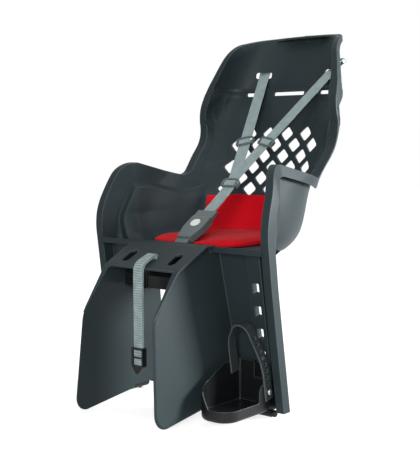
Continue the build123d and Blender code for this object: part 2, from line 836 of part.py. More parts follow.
def strap_on_bar(wide, thick, paths, bends, bar_y, bar_z, bar_r):
    """Runs of webbing in the middle plane that share one loop round a bar."""
    with BuildPart() as strap:
        for path in paths:
            with BuildSketch(Plane.YZ):
                with BuildLine():
                    FilletPolyline(*path, radius=bends)
                trace(line_width=thick)
            extrude(amount=wide / 2, both=True)
        with BuildSketch(Plane.YZ):
            with Locations((bar_y, bar_z)):
                Circle(bar_r + seat_gap + thick)
        extrude(amount=wide / 2, both=True)
        with BuildSketch(Plane.YZ):
            with Locations((bar_y, bar_z)):
                Circle(bar_r + seat_gap)
        extrude(amount=wide / 2, both=True, mode=Mode.SUBTRACT)
    return strap.part


def strap_bar(name, length, bar_y, bar_z, bar_r):
    """A round bar across the middle plane that a strap is looped on."""
    with BuildPart() as bar:
        with BuildSketch(Plane.YZ):
            with Locations((bar_y, bar_z)):
                Circle(bar_r)
        extrude(amount=length / 2, both=True)
        chamfer(bar.edges().filter_by(GeomType.CIRCLE), length=bar_r / 4)
    bar.part.label = name
    export_step(bar.part, f"parts/{name}.step")


# Crotch strap from a bar under the pan into the lower end of the buckle
crotch_bar_z = pan_z - seat_gap - webbing_thick - crotch_bar_r - 2 * seat_gap
crotch_end = buckle_plane.from_local_coords((0, crotch_grip, 0))
crotch_turn_z = buckle_low[1] - (buckle_low[0] - crotch_y) * tan(rise)
crotch_path = [(crotch_y, crotch_bar_z), (crotch_y, crotch_turn_z), (crotch_end.Y, crotch_end.Z)]
crotch_strap = strap_on_bar(
    crotch_wide, webbing_thick, [crotch_path], crotch_bar_r, crotch_y, crotch_bar_z, crotch_bar_r
)
crotch_strap.label = "crotch_strap"
export_step(crotch_strap, "parts/crotch_strap.step")
strap_bar("crotch_strap_bar", crotch_bar, crotch_y, crotch_bar_z, crotch_bar_r)

# Frame strap: both runs come out of the nose slot and hang down to the strap buckle
frame_strap = strap_on_bar(
    frame_strap_wide, frame_strap_thick, [frame_front_run, frame_rear_run], frame_bend,
    frame_bar_y, frame_bar_z, frame_bar_r,
)
frame_strap.label = "frame_strap"
export_step(frame_strap, "parts/frame_strap.step")
strap_bar("frame_strap_bar", frame_bar, frame_bar_y, frame_bar_z, frame_bar_r)

# Ladder buckle on the frame strap: bars in front of both runs and bars behind them, pointed foot
lock_half = frame_strap_wide / 2 + soft_gap
lock_front = frame_front_run[-1][0] - frame_strap_thick / 2 - soft_gap
lock_rear = frame_rear_run[-1][0] + frame_strap_thick / 2 + soft_gap
with BuildPart() as frame_strap_buckle:
    with BuildSketch(Plane.XZ.offset(-lock_rear - lock_bar)):
        Polygon(
            (-lock_half - lock_wall, lock_top_z),
            (lock_half + lock_wall, lock_top_z),
            (lock_half + lock_wall, lock_foot_z),
            (lock_wall, lock_tip_z),
            (-lock_wall, lock_tip_z),
            (-lock_half - lock_wall, lock_foot_z),
            align=None,
        )
    extrude(amount=lock_rear - lock_front + 2 * lock_bar)
    with BuildSketch(Plane.XZ.offset(-lock_rear)):
        with Locations((0, lock_foot_z)):
            Rectangle(2 * lock_half, 2 * (lock_top_z - lock_foot_z), align=(Align.CENTER, Align.MIN))
    extrude(amount=lock_rear - lock_front, mode=Mode.SUBTRACT)
    with BuildSketch(Plane.XZ.offset(-lock_rear)):
        with Locations([(0, z) for z in lock_rear_windows]):
            Rectangle(2 * lock_half, lock_window)
    extrude(amount=-2 * lock_bar, mode=Mode.SUBTRACT)
    with BuildSketch(Plane.XZ.offset(-lock_front)):
        with Locations([(0, z) for z in lock_front_windows]):
            Rectangle(2 * lock_half, lock_window)
    extrude(amount=2 * lock_bar, mode=Mode.SUBTRACT)
frame_strap_buckle.part.label = "frame_strap_buckle"
export_step(frame_strap_buckle.part, "parts/frame_strap_buckle.step")

# Footrest: a cup for the shoe on a carriage that wraps the rail head
foot_middle = ((foot_x[0] + foot_x[1]) / 2, (foot_y[0] + foot_y[1]) / 2)
foot_size = (foot_x[1] - foot_x[0], foot_y[1] - foot_y[0])
foot_floor_z = foot_low_z + foot_sole
carriage_half = rail_head / 2 + slide_gap + carriage_wall
carriage_depth = rail_depth + slide_gap + carriage_wall
carriage_top = Plane(
    origin=(rail_x, well_wall_y(foot_heel_z), foot_heel_z),
    x_dir=(1, 0, 0),
    z_dir=rail_plane.z_dir,
)
carriage_length = (foot_heel_z - carriage_low_z) / cos(radians(lean))
heel_gap = (rail_depth + carriage_wall) / cos(radians(lean))
stud_yz = (foot_strap_y - well_lean * (stud_z - foot_strap_z), stud_z)
with BuildPart() as footrest_right:
    with BuildSketch(Plane.XY.offset(foot_low_z)) as sole:
        with Locations(foot_middle):
            Rectangle(*foot_size)
        fillet(sole.vertices().group_by(Axis.Y)[-1], radius=heel_corner)
        fillet(sole.vertices().group_by(Axis.Y)[0], radius=foot_corner)
        offset(sole.sketch_local, amount=-foot_wall, mode=Mode.SUBTRACT)
    extrude(amount=foot_heel_z - foot_low_z)
    with BuildSketch(Plane.YZ.offset(foot_x[0])):
        Polygon(
            (foot_y[0], foot_low_z),
            (foot_y[0], foot_side_z),
            (foot_rise_y, foot_heel_z),
            (foot_y[1], foot_heel_z),
            (foot_y[1], foot_low_z),
            align=None,
        )
    extrude(amount=foot_size[0], mode=Mode.INTERSECT)
    with BuildSketch(Plane.XZ.offset(-foot_y[0] - foot_corner)):
        Polygon(
            (foot_x[0], foot_heel_z),
            (foot_x[0], foot_front_z),
            (foot_x[0] + foot_corner, foot_toe_z),
            (foot_x[1], foot_toe_z),
            (foot_x[1], foot_heel_z),
            align=None,
        )
    extrude(amount=foot_corner, mode=Mode.SUBTRACT)
    with BuildSketch(Plane.YZ.offset(foot_middle[0])) as outer_view:
        Polygon(
            (foot_y[0], foot_toe_z),
            (foot_lug_y, foot_toe_z),
            (foot_lug_y, foot_lug_z),
            (foot_y[1], foot_lug_z),
            (foot_y[1], foot_heel_z),
            (foot_y[0], foot_heel_z),
            align=None,
        )
        fillet(outer_view.vertices().sort_by_distance((foot_lug_y, foot_lug_z))[0], radius=foot_lug_round)
    extrude(amount=foot_size[0], mode=Mode.SUBTRACT)
    with BuildSketch(Plane.XY.offset(foot_low_z)):
        make_face(sole.sketch_local.faces()[0].outer_wire().edges())
    extrude(amount=foot_sole)
    fillet(footrest_right.faces().sort_by(Axis.Z)[0].edges(), radius=foot_edge)
    with BuildSketch(Plane.YZ.offset(rail_x)):
        Polygon(
            (foot_y[1] - foot_edge, foot_low_z),
            (well_wall_y(carriage_low_z) - heel_gap, foot_low_z),
            (well_wall_y(carriage_low_z) - heel_gap, carriage_low_z),
            (well_wall_y(foot_lug_z) - heel_gap, foot_lug_z),
            (foot_y[1] - foot_wall, foot_lug_z),
            (foot_y[1] - foot_wall, foot_floor_z),
            (foot_y[1] - foot_edge, foot_floor_z),
            align=None,
        )
        with Locations(heel_pin_yz):
            Circle(heel_barrel_r)
    extrude(amount=carriage_half, both=True)
    with BuildSketch(carriage_top):
        with Locations((0, slide_gap)):
            Rectangle(2 * carriage_half, carriage_depth - slide_gap, align=(Align.CENTER, Align.MIN))
        with Locations((0, rail_step - slide_gap)):
            Rectangle(
                rail_head + 2 * slide_gap, rail_depth - rail_step + 2 * slide_gap,
                align=(Align.CENTER, Align.MIN), mode=Mode.SUBTRACT,
            )
        Rectangle(rail_neck + 2 * slide_gap, 2 * rail_step, mode=Mode.SUBTRACT)
    extrude(amount=carriage_length)
    with BuildSketch(Plane.YZ.offset(foot_x[1] - 2 * foot_wall)):
        with Locations(stud_yz):
            Circle(stud_shank_r + bearing_gap)
    extrude(amount=3 * foot_wall, mode=Mode.SUBTRACT)
    with BuildSketch(Plane.YZ.offset(rail_x)):
        with Locations(heel_pin_yz):
            Circle(heel_pin_r + bearing_gap)
    extrude(amount=2 * carriage_half, both=True, mode=Mode.SUBTRACT)
footrest_right.part.label = "footrest_right"
export_step(footrest_right.part, "parts/footrest_right.step")

# Foot strap: a bowed rubber band over the instep, with a row of holes
strap_origin = (0, foot_strap_y, foot_strap_z)
strap_plane = Plane(origin=strap_origin, x_dir=(1, 0, 0), z_dir=rail_plane.y_dir)
strap_side = Plane(origin=strap_origin, x_dir=-rail_plane.y_dir, z_dir=(1, 0, 0))
bow_x = foot_x[0] + foot_wall + seat_gap + foot_strap_thick / 2
bow_span = foot_x[1] + seat_gap + foot_strap_thick / 2 - bow_x
bow_wide = foot_strap_bow[-1][1]
bow_path = [
    (bow_x + across * bow_span / bow_wide, (z - foot_strap_z) / cos(radians(lean)))
    for z, across in foot_strap_bow
]
with BuildPart() as foot_strap_right:
    with BuildSketch(strap_plane):
        with BuildLine():
            FilletPolyline(*bow_path, radius=foot_strap_radii)
        trace(line_width=foot_strap_thick)
    extrude(amount=foot_strap_wide / 2, both=True)
    with BuildSketch(strap_side.offset(foot_middle[0])):
        with Locations((0, (stud_z - foot_strap_z) / cos(radians(lean)))):
            Circle(stud_shank_r + seat_gap)
        for step in range(foot_strap_holes):
            hole_z = foot_hole_z + step * foot_hole_pitch
            with Locations((0, (hole_z - foot_strap_z) / cos(radians(lean)))):
                RectangleRounded(*foot_hole, foot_hole[0] / 4)
    extrude(amount=foot_size[0], mode=Mode.SUBTRACT)
foot_strap_right.part.label = "foot_strap_right"
export_step(foot_strap_right.part, "parts/foot_strap_right.step")

# Stud that the foot strap is buttoned on
stud_face = foot_x[1] + 2 * seat_gap + foot_strap_thick
with BuildPart() as foot_strap_stud_right:
    with BuildSketch(Plane.YZ.offset(stud_face)):
        with Locations(stud_yz):
            Circle(stud_r)
    extrude(amount=stud_head)
    fillet(foot_strap_stud_right.faces().sort_by(Axis.X)[-1].edges(), radius=stud_head / 3)
    with BuildSketch(Plane.YZ.offset(foot_x[1] - foot_wall)):
        with Locations(stud_yz):
            Circle(stud_shank_r)
    extrude(amount=stud_face - foot_x[1] + foot_wall)
foot_strap_stud_right.part.label = "foot_strap_stud_right"
export_step(foot_strap_stud_right.part, "parts/foot_strap_stud_right.step")

# Locking pin in the barrel under the heel, with a round knob
with BuildPart() as footrest_pin_right:
    with BuildSketch(Plane.YZ.offset(rail_x - carriage_half)):
        with Locations(heel_pin_yz):
            Circle(heel_pin_r)
    extrude(amount=2 * carriage_half + seat_gap)
    with BuildSketch(Plane.YZ.offset(rail_x + carriage_half + seat_gap)):
        with Locations(heel_pin_yz):
            Circle(heel_knob_r)
    extrude(amount=heel_knob)
    fillet(footrest_pin_right.faces().sort_by(Axis.X)[-1].edges(), radius=heel_knob_r / 2)
footrest_pin_right.part.label = "footrest_pin_right"
export_step(footrest_pin_right.part, "parts/footrest_pin_right.step")

# The same four pieces on the left
for piece in (footrest_right, foot_strap_right, foot_strap_stud_right, footrest_pin_right):
    with BuildPart() as left_piece:
        mirror(piece.part, about=Plane.YZ)
    left_piece.part.label = piece.part.label.replace("right", "left")
    export_step(left_piece.part, f"parts/{left_piece.part.label}.step")

# Clamp base: sits on the carrier, bolted under the pan, with a channel across it for the jaws
bolt_places = [(x, y) for x in (-bolt_x, bolt_x) for y in bolt_ys]
base_high_z = pan_z - seat_gap
base_low_front, base_front_top = base_front[0], base_front[1]
with BuildPart() as carrier_base:
    with BuildSketch(Plane.YZ):
        with BuildLine():
            Polyline(
                *base_front,
                (base_post_y, base_high_z),
                (base_rear_y, base_high_z),
                (base_rear_y, 0),
                close=True,
            )
        make_face()
    extrude(amount=base_half, both=True)
    fillet(carrier_base.edges().filter_by(Axis.Z), radius=base_wall)
    with BuildSketch(Plane.XY):
        for step in range(base_ribs):
            with Locations((base_rib_x + step * base_rib_pitch, base_low_front[0])):
                Rectangle(base_rib[0], 2 * base_rib[1])
    extrude(amount=base_front_top[1], mode=Mode.SUBTRACT)
    with BuildSketch(Plane.XY):
        with Locations((0, (channel_y[0] + channel_y[1]) / 2)):
            Rectangle(2 * base_half, channel_y[1] - channel_y[0])
    extrude(amount=channel_z, mode=Mode.SUBTRACT)
    with BuildSketch(Plane.XY):
        with Locations((0, channel_y[1] + base_wall)):
            Rectangle(
                2 * (base_half - base_wall), base_rear_y - channel_y[1] - 2 * base_wall,
                align=(Align.CENTER, Align.MIN),
            )
    extrude(amount=base_high_z - base_top, mode=Mode.SUBTRACT)
    with BuildSketch(Plane.XY.offset(base_high_z)):
        with Locations((0, crotch_y)):
            Rectangle(crotch_bar + crotch_bar_r, crotch_pocket)
    extrude(amount=-2 * (pan_z - crotch_bar_z), mode=Mode.SUBTRACT)
    with BuildSketch(Plane.YZ):
        with Locations((screw_y, 0)):
            Rectangle(channel_y[1] - channel_y[0], channel_z, align=(Align.CENTER, Align.MIN))
            Rectangle(2 * (screw_r + bearing_gap), 2 * screw_z, mode=Mode.SUBTRACT)
        with Locations((screw_y, screw_z)):
            Circle(screw_r + bearing_gap, mode=Mode.SUBTRACT)
    extrude(amount=wheel_half + slide_gap + bearing_web, both=True)
    with BuildSketch(Plane.YZ):
        with Locations((screw_y, 0)):
            Rectangle(channel_y[1] - channel_y[0], channel_z, align=(Align.CENTER, Align.MIN))
    extrude(amount=wheel_half + slide_gap, both=True, mode=Mode.SUBTRACT)
    with Locations([(x, y, base_high_z) for x, y in bolt_places]):
        Hole(bolt_r + seat_gap, depth=base_top)
carrier_base.part.label = "carrier_base"
export_step(carrier_base.part, "parts/carrier_base.step")

# Clamp jaw: a slide in the channel with a claw that hooks under the carrier tube
tube_z = -tube_r - seat_gap
with BuildPart() as clamp_jaw_right:
    with BuildSketch(Plane.XZ.offset(-channel_y[1] + slide_gap)):
        Polygon(
            (jaw_inner_x, jaw_low_z),
            (jaw_inner_x, jaw_top_z),
            (jaw_outer_x, jaw_top_z),
            (jaw_outer_x, claw_low_z),
            (hook_x, claw_low_z),
            (hook_x, tube_z),
            (tube_x, tube_z),
            (tube_x, jaw_low_z),
            align=None,
        )
        with Locations((tube_x, tube_z)):
            Circle(tube_r, mode=Mode.SUBTRACT)
    extrude(amount=channel_y[1] - channel_y[0] - 2 * slide_gap)
    with BuildSketch(Plane.YZ):
        with Locations((screw_y, screw_z)):
            Circle(screw_r + slide_gap)
    extrude(amount=screw_half + 2 * slide_gap, mode=Mode.SUBTRACT)
clamp_jaw_right.part.label = "clamp_jaw_right"
export_step(clamp_jaw_right.part, "parts/clamp_jaw_right.step")

with BuildPart() as clamp_jaw_left:
    mirror(clamp_jaw_right.part, about=Plane.YZ)
clamp_jaw_left.part.label = "clamp_jaw_left"
export_step(clamp_jaw_left.part, "parts/clamp_jaw_left.step")

# Clamp screw: one shaft with opposite threads and a ribbed wheel in the middle
with BuildPart() as clamp_screw:
    with BuildSketch(Plane.YZ):
        with Locations((screw_y, screw_z)):
            Circle(screw_r)
    extrude(amount=screw_half, both=True)
    chamfer(clamp_screw.edges().filter_by(GeomType.CIRCLE), length=screw_r / 4)
    with BuildSketch(Plane.YZ):
        with Locations((screw_y, screw_z)):
            Circle(wheel_r)
            with PolarLocations(wheel_r, wheel_ribs):
                Circle(wheel_rib_r, mode=Mode.SUBTRACT)
    extrude(amount=wheel_half, both=True)
clamp_screw.part.label = "clamp_screw"
export_step(clamp_screw.part, "parts/clamp_screw.step")

# Four countersunk bolts from the pan into the base, and their nuts
with BuildPart() as base_bolts:
    with BuildSketch(Plane.XY.offset(pan_z + wall)):
        with Locations(bolt_places):
            Circle(bolt_r)
    extrude(amount=-bolt_length)
    head_middle_z = pan_z + wall - (bolt_head_r - bolt_r) / 2
    with Locations([(x, y, head_middle_z) for x, y in bolt_places]):
        Cone(bolt_r, bolt_head_r, bolt_head_r - bolt_r)
base_bolts.part.label = "base_bolts"
export_step(base_bolts.part, "parts/base_bolts.step")

with BuildPart() as base_nuts:
    with BuildSketch(Plane.XY.offset(base_high_z - base_top - seat_gap)):
        with Locations(bolt_places):
            RegularPolygon(nut_across / 2, 6, major_radius=False)
            Circle(bolt_r + bearing_gap, mode=Mode.SUBTRACT)
    extrude(amount=-nut_thick)
base_nuts.part.label = "base_nuts"
export_step(base_nuts.part, "parts/base_nuts.step")
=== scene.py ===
"""Rear child seat for a bicycle carrier, dressed piece by piece in the order in which it is put together."""
import json
from math import cos, pi, radians, sin

import bmesh
import bpy
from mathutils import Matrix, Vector
from mathutils.bvhtree import BVHTree
from mathutils.kdtree import KDTree

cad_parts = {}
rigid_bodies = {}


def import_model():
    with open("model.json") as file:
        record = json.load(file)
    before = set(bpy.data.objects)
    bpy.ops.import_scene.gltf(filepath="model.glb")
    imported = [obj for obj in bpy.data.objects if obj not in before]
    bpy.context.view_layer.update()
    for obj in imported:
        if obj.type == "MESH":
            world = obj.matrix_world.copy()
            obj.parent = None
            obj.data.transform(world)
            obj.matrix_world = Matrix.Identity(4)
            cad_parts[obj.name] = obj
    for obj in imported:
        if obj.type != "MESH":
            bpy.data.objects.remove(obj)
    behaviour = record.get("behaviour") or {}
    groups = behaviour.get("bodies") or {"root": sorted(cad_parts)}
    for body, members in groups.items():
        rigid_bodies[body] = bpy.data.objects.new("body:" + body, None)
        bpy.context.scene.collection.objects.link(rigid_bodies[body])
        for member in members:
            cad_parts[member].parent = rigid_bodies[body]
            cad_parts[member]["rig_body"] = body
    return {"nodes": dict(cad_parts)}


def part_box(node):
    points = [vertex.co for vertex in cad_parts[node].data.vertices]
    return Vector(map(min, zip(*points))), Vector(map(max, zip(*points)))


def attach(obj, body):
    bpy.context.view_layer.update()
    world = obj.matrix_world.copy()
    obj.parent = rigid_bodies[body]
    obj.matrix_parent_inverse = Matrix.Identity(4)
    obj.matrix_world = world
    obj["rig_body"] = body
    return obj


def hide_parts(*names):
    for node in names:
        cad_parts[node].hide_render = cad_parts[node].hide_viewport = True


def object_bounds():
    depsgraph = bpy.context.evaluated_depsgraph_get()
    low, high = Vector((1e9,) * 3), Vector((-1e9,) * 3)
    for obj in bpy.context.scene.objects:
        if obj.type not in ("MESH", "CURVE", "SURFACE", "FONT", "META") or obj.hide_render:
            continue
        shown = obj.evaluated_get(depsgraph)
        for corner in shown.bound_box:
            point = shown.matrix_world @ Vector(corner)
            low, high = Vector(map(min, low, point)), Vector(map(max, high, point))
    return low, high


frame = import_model()
cad_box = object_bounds()
bpy.ops.object.select_all(action="DESELECT")

# ---- Studio -------------------------------------------------------------------------------
# A white table top that keeps the contact shadow, a white room, and three large soft lamps:
# the key behind the seat on the child's left, a fill in front of it and a weak one overhead.
scene = bpy.context.scene
scene.view_settings.view_transform = "Standard"
floor_z = cad_box[0][2] - 0.0005
bpy.ops.mesh.primitive_plane_add(size=16.0, location=(0, 0, floor_z))
table = bpy.context.object
table.name = "table_top"


def empty_material(name):
    """A node material with nothing but its output in it, as (material, nodes, links, output)."""
    material = bpy.data.materials.new(name)
    material.use_nodes = True
    nodes = material.node_tree.nodes
    nodes.clear()
    return material, nodes, material.node_tree.links, nodes.new("ShaderNodeOutputMaterial")


def seen_directly(nodes, links):
    """1 for rays that show the room itself: from the camera, in gloss and through clear pieces."""
    path = nodes.new("ShaderNodeLightPath")
    either = nodes.new("ShaderNodeMath")
    either.operation = "MAXIMUM"
    links.new(path.outputs["Is Camera Ray"], either.inputs[0])
    links.new(path.outputs["Is Glossy Ray"], either.inputs[1])
    both = nodes.new("ShaderNodeMath")
    both.operation = "MAXIMUM"
    links.new(either.outputs[0], both.inputs[0])
    links.new(path.outputs["Is Transmission Ray"], both.inputs[1])
    return both.outputs[0]


table_white, nodes, links, output = empty_material("table_white")
board = nodes.new("ShaderNodeBsdfDiffuse")
board.inputs["Color"].default_value = (0.5, 0.5, 0.5, 1)
glow = nodes.new("ShaderNodeEmission")
place = nodes.new("ShaderNodeTexCoord")
reach = nodes.new("ShaderNodeVectorMath")
reach.operation = "LENGTH"
links.new(place.outputs["Object"], reach.inputs[0])
far = nodes.new("ShaderNodeMapRange")
far.inputs["From Min"].default_value = 0.4
far.inputs["From Max"].default_value = 1.6
far.inputs["To Min"].default_value = 0.78
far.inputs["To Max"].default_value = 1.0
links.new(reach.outputs["Value"], far.inputs["Value"])
lift = nodes.new("ShaderNodeMath")
lift.operation = "MULTIPLY"
links.new(far.outputs["Result"], lift.inputs[1])
links.new(seen_directly(nodes, links), lift.inputs[0])
links.new(lift.outputs[0], glow.inputs["Strength"])
total = nodes.new("ShaderNodeAddShader")
links.new(board.outputs[0], total.inputs[0])
links.new(glow.outputs[0], total.inputs[1])
links.new(total.outputs[0], output.inputs["Surface"])
table.data.materials.append(table_white)

world = bpy.data.worlds.new("white_room")
scene.world = world
world.use_nodes = True
nodes = world.node_tree.nodes
links = world.node_tree.links
nodes.clear()
room = nodes.new("ShaderNodeBackground")
room.inputs["Color"].default_value = (1, 1, 1, 1)
brightness = nodes.new("ShaderNodeMapRange")
brightness.inputs["To Min"].default_value = 0.06
brightness.inputs["To Max"].default_value = 1.0
links.new(seen_directly(nodes, links), brightness.inputs["Value"])
links.new(brightness.outputs["Result"], room.inputs["Strength"])
links.new(room.outputs[0], nodes.new("ShaderNodeOutputWorld").inputs["Surface"])

seat_middle = Vector((0.0, 0.15, 0.12))
for name, place, size, watts in (
    ("key_lamp", (1.75, 1.25, 0.55), 0.7, 105.0),
    ("fill_lamp", (1.15, -1.7, 0.5), 0.8, 40.0),
    ("top_lamp", (0.1, 0.0, 2.0), 1.2, 14.0),
):
    aim = (seat_middle - Vector(place)).to_track_quat("-Z", "Y").to_euler()
    bpy.ops.object.light_add(type="AREA", location=place, rotation=aim)
    lamp = bpy.context.object
    lamp.name = name
    lamp.data.energy = watts
    lamp.data.size = size

camera_turn = (radians(90 - 5.221), 0, radians(39.698))
bpy.ops.object.camera_add(location=(1.09433, -1.17576, 0.24008), rotation=camera_turn)
camera = bpy.context.object
camera.name = "photo_camera"
camera.data.lens = 73.39
camera.data.sensor_width = 36.0
scene.camera = camera
bpy.ops.object.select_all(action="DESELECT")

# ---- Seat shell ---------------------------------------------------------------------------
# The bucket, nose and leg guards are one injection moulding in slate grey plastic, with a fine
# grained satin face and edges that the mould leaves softly rounded.
weld_reach = 0.00002
flat_turn = radians(0.4)
sharp_turn = radians(32)
shade_turn = radians(38)
short_edge = 2.5
stray_limit = 0.7


def select_only(piece):
    """Leaves one piece selected and active."""
    bpy.ops.object.select_all(action="DESELECT")
    piece.select_set(True)
    bpy.context.view_layer.objects.active = piece


def merged_copy(node, name):
    """A new object with the welded mesh of a CAD piece."""
    piece = bpy.data.objects.new(name, frame["nodes"][node].data.copy())
    bpy.context.collection.objects.link(piece)
    piece.data.materials.clear()
    select_only(piece)
    bpy.ops.mesh.customdata_custom_splitnormals_clear()
    bpy.ops.object.mode_set(mode="EDIT")
    bpy.ops.mesh.select_all(action="SELECT")
    bpy.ops.mesh.remove_doubles(threshold=weld_reach)
    bpy.ops.mesh.dissolve_limited(angle_limit=flat_turn)
    bpy.ops.object.mode_set(mode="OBJECT")
    return piece


def round_edges(piece, width, plain):
    """Rounds the sharp edges of a piece, but not in a plain band of heights or where short edges meet."""
    select_only(piece)
    shape = bmesh.new()
    shape.from_mesh(piece.data)
    skin = BVHTree.FromBMesh(shape)
    weight = shape.edges.layers.float.new("bevel_weight_edge")
    sharp = {edge for edge in shape.edges if edge.is_manifold and edge.calc_face_angle() > sharp_turn}
    for edge in sharp:
        clear = True
        for end in edge.verts:
            if plain[0] < end.co.z < plain[1]:
                clear = False
            meeting = [other for other in end.link_edges if other in sharp]
            shortest = min(other.calc_length() for other in meeting)
            if len(meeting) != 2 and shortest < short_edge * width:
                clear = False
        edge[weight] = 1.0 if clear else 0.0
    shape.to_mesh(piece.data)
    shape.free()
    edge = piece.modifiers.new("edge", "BEVEL")
    edge.width = width
    edge.segments = 2
    edge.limit_method = "WEIGHT"
    edge.use_clamp_overlap = False
    edge.loop_slide = False
    edge.material = 1
    piece.data.materials.append(None)
    piece.data.materials.append(None)
    bpy.ops.object.modifier_apply(modifier="edge")
    for vertex in piece.data.vertices:
        nearest, _, _, away = skin.find_nearest(vertex.co)
        if away > stray_limit * width:
            vertex.co = nearest
    # Marks the rounded edge faces, which the plastics paint paler as a painted highlight.
    highlight_edge_mark = piece.data.attributes.new("rounded_edge", "FLOAT", "FACE")
    for face, mark in zip(piece.data.polygons, highlight_edge_mark.data):
        mark.value = face.material_index
        face.material_index = 0
    bpy.ops.object.shade_smooth_by_angle(angle=shade_turn)
    flat = piece.modifiers.new("flat", "WEIGHTED_NORMAL")
    flat.keep_sharp = True
    flat.weight = 80
    bpy.ops.object.modifier_apply(modifier="flat")


def fit_piece(piece, material, *nodes):
    """Gives a piece its finish and the body of the CAD pieces that it stands for, and hides those pieces."""
    piece.data.materials.clear()
    piece.data.materials.append(material)
    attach(piece, frame["nodes"][nodes[0]]["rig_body"])
    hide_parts(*nodes)


def moulding(node, width, material, plain=(0.0, 0.0)):
    """One moulded piece: the CAD shape with rounded edges and its plastic."""
    piece = merged_copy(node, node + "_moulding")
    round_edges(piece, width, plain)
    fit_piece(piece, material, node)
    return piece


def node_group(name, inputs, outputs):
    """An empty shader group with its named value sockets, as (group, input node, output node)."""
    group = bpy.data.node_groups.new(name, "ShaderNodeTree")
    for socket, default in inputs:
        value = group.interface.new_socket(socket, in_out="INPUT", socket_type="NodeSocketFloat")
        value.default_value = default
    for socket in outputs:
        group.interface.new_socket(socket, in_out="OUTPUT", socket_type="NodeSocketFloat")
    return group, group.nodes.new("NodeGroupInput"), group.nodes.new("NodeGroupOutput")


def math_node(nodes, links, kind, first, second):
    """One sum of two values, each a socket or a number, as its output socket."""
    node = nodes.new("ShaderNodeMath")
    node.operation = kind
    for place, value in enumerate((first, second)):
        if isinstance(value, (int, float)):
            node.inputs[place].default_value = value
        else:
            links.new(value, node.inputs[place])
    return node.outputs[0]


moulded_grain, given, made = node_group(
    "moulded_grain", [("Grain Scale", 1500.0)], ["Height", "Tone", "Edge"]
)
nodes, links = moulded_grain.nodes, moulded_grain.links
place = nodes.new("ShaderNodeTexCoord")
grain = nodes.new("ShaderNodeTexNoise")
grain.inputs["Detail"].default_value = 2.0
links.new(place.outputs["Object"], grain.inputs["Vector"])
links.new(given.outputs["Grain Scale"], grain.inputs["Scale"])
links.new(grain.outputs["Fac"], made.inputs["Height"])
flow = nodes.new("ShaderNodeTexNoise")
flow.inputs["Scale"].default_value = 9.0
flow.inputs["Detail"].default_value = 3.0
links.new(place.outputs["Object"], flow.inputs["Vector"])
speckle = math_node(nodes, links, "MULTIPLY", grain.outputs["Fac"], 0.35)
shade = math_node(nodes, links, "MULTIPLY", flow.outputs["Fac"], 0.65)
links.new(math_node(nodes, links, "ADD", speckle, shade), made.inputs["Tone"])
# Edge: the rounded edge faces, paler in patches, as a painted highlight where the edges catch the light.
corner = nodes.new("ShaderNodeAttribute")
corner.attribute_name = "rounded_edge"
painted_edge_highlight = math_node(nodes, links, "MULTIPLY", corner.outputs["Fac"], flow.outputs["Fac"])
links.new(painted_edge_highlight, made.inputs["Edge"])


def colour_mix(nodes, links, factor, first, second):
    """A blend of two colours, each a socket or a plain colour, as its output socket."""
    mix = nodes.new("ShaderNodeMix")
    mix.data_type = "RGBA"
    links.new(factor, mix.inputs["Factor"])
    for socket, value in ((mix.inputs[6], first), (mix.inputs[7], second)):
        if isinstance(value, tuple):
            socket.default_value = (*value, 1)
        else:
            links.new(value, socket)
    return mix.outputs[2]


def relief(nodes, links, height, surface, strength, distance):
    """Raises a surface by a height that changes over it."""
    bump = nodes.new("ShaderNodeBump")
    bump.inputs["Strength"].default_value = strength
    bump.inputs["Distance"].default_value = distance
    links.new(height, bump.inputs["Height"])
    links.new(bump.outputs["Normal"], surface.inputs["Normal"])


def spread(nodes, links, value, low, high):
    """A value from 0 to 1 spread between two limits."""
    reach = nodes.new("ShaderNodeMapRange")
    reach.inputs["To Min"].default_value = low
    reach.inputs["To Max"].default_value = high
    links.new(value, reach.inputs["Value"])
    return reach.outputs["Result"]


def plastic(name, dark, light, edge, grain_scale, roughness, relief_strength, gloss=0.12):
    """Moulded plastic: a grained face, slow changes of tone and paler edges, a painted highlight on the
    rounded edge faces.
    """
    material, nodes, links, output = empty_material(name)
    surface = nodes.new("ShaderNodeBsdfPrincipled")
    surface.inputs["Specular IOR Level"].default_value = gloss
    links.new(surface.outputs[0], output.inputs["Surface"])
    face = nodes.new("ShaderNodeGroup")
    face.node_tree = moulded_grain
    face.inputs["Grain Scale"].default_value = grain_scale
    toned = colour_mix(nodes, links, face.outputs["Tone"], dark, light)
    links.new(colour_mix(nodes, links, face.outputs["Edge"], toned, edge), surface.inputs["Base Color"])
    links.new(spread(nodes, links, face.outputs["Tone"], *roughness), surface.inputs["Roughness"])
    relief(nodes, links, face.outputs["Height"], surface, relief_strength, 0.0002)
    return material


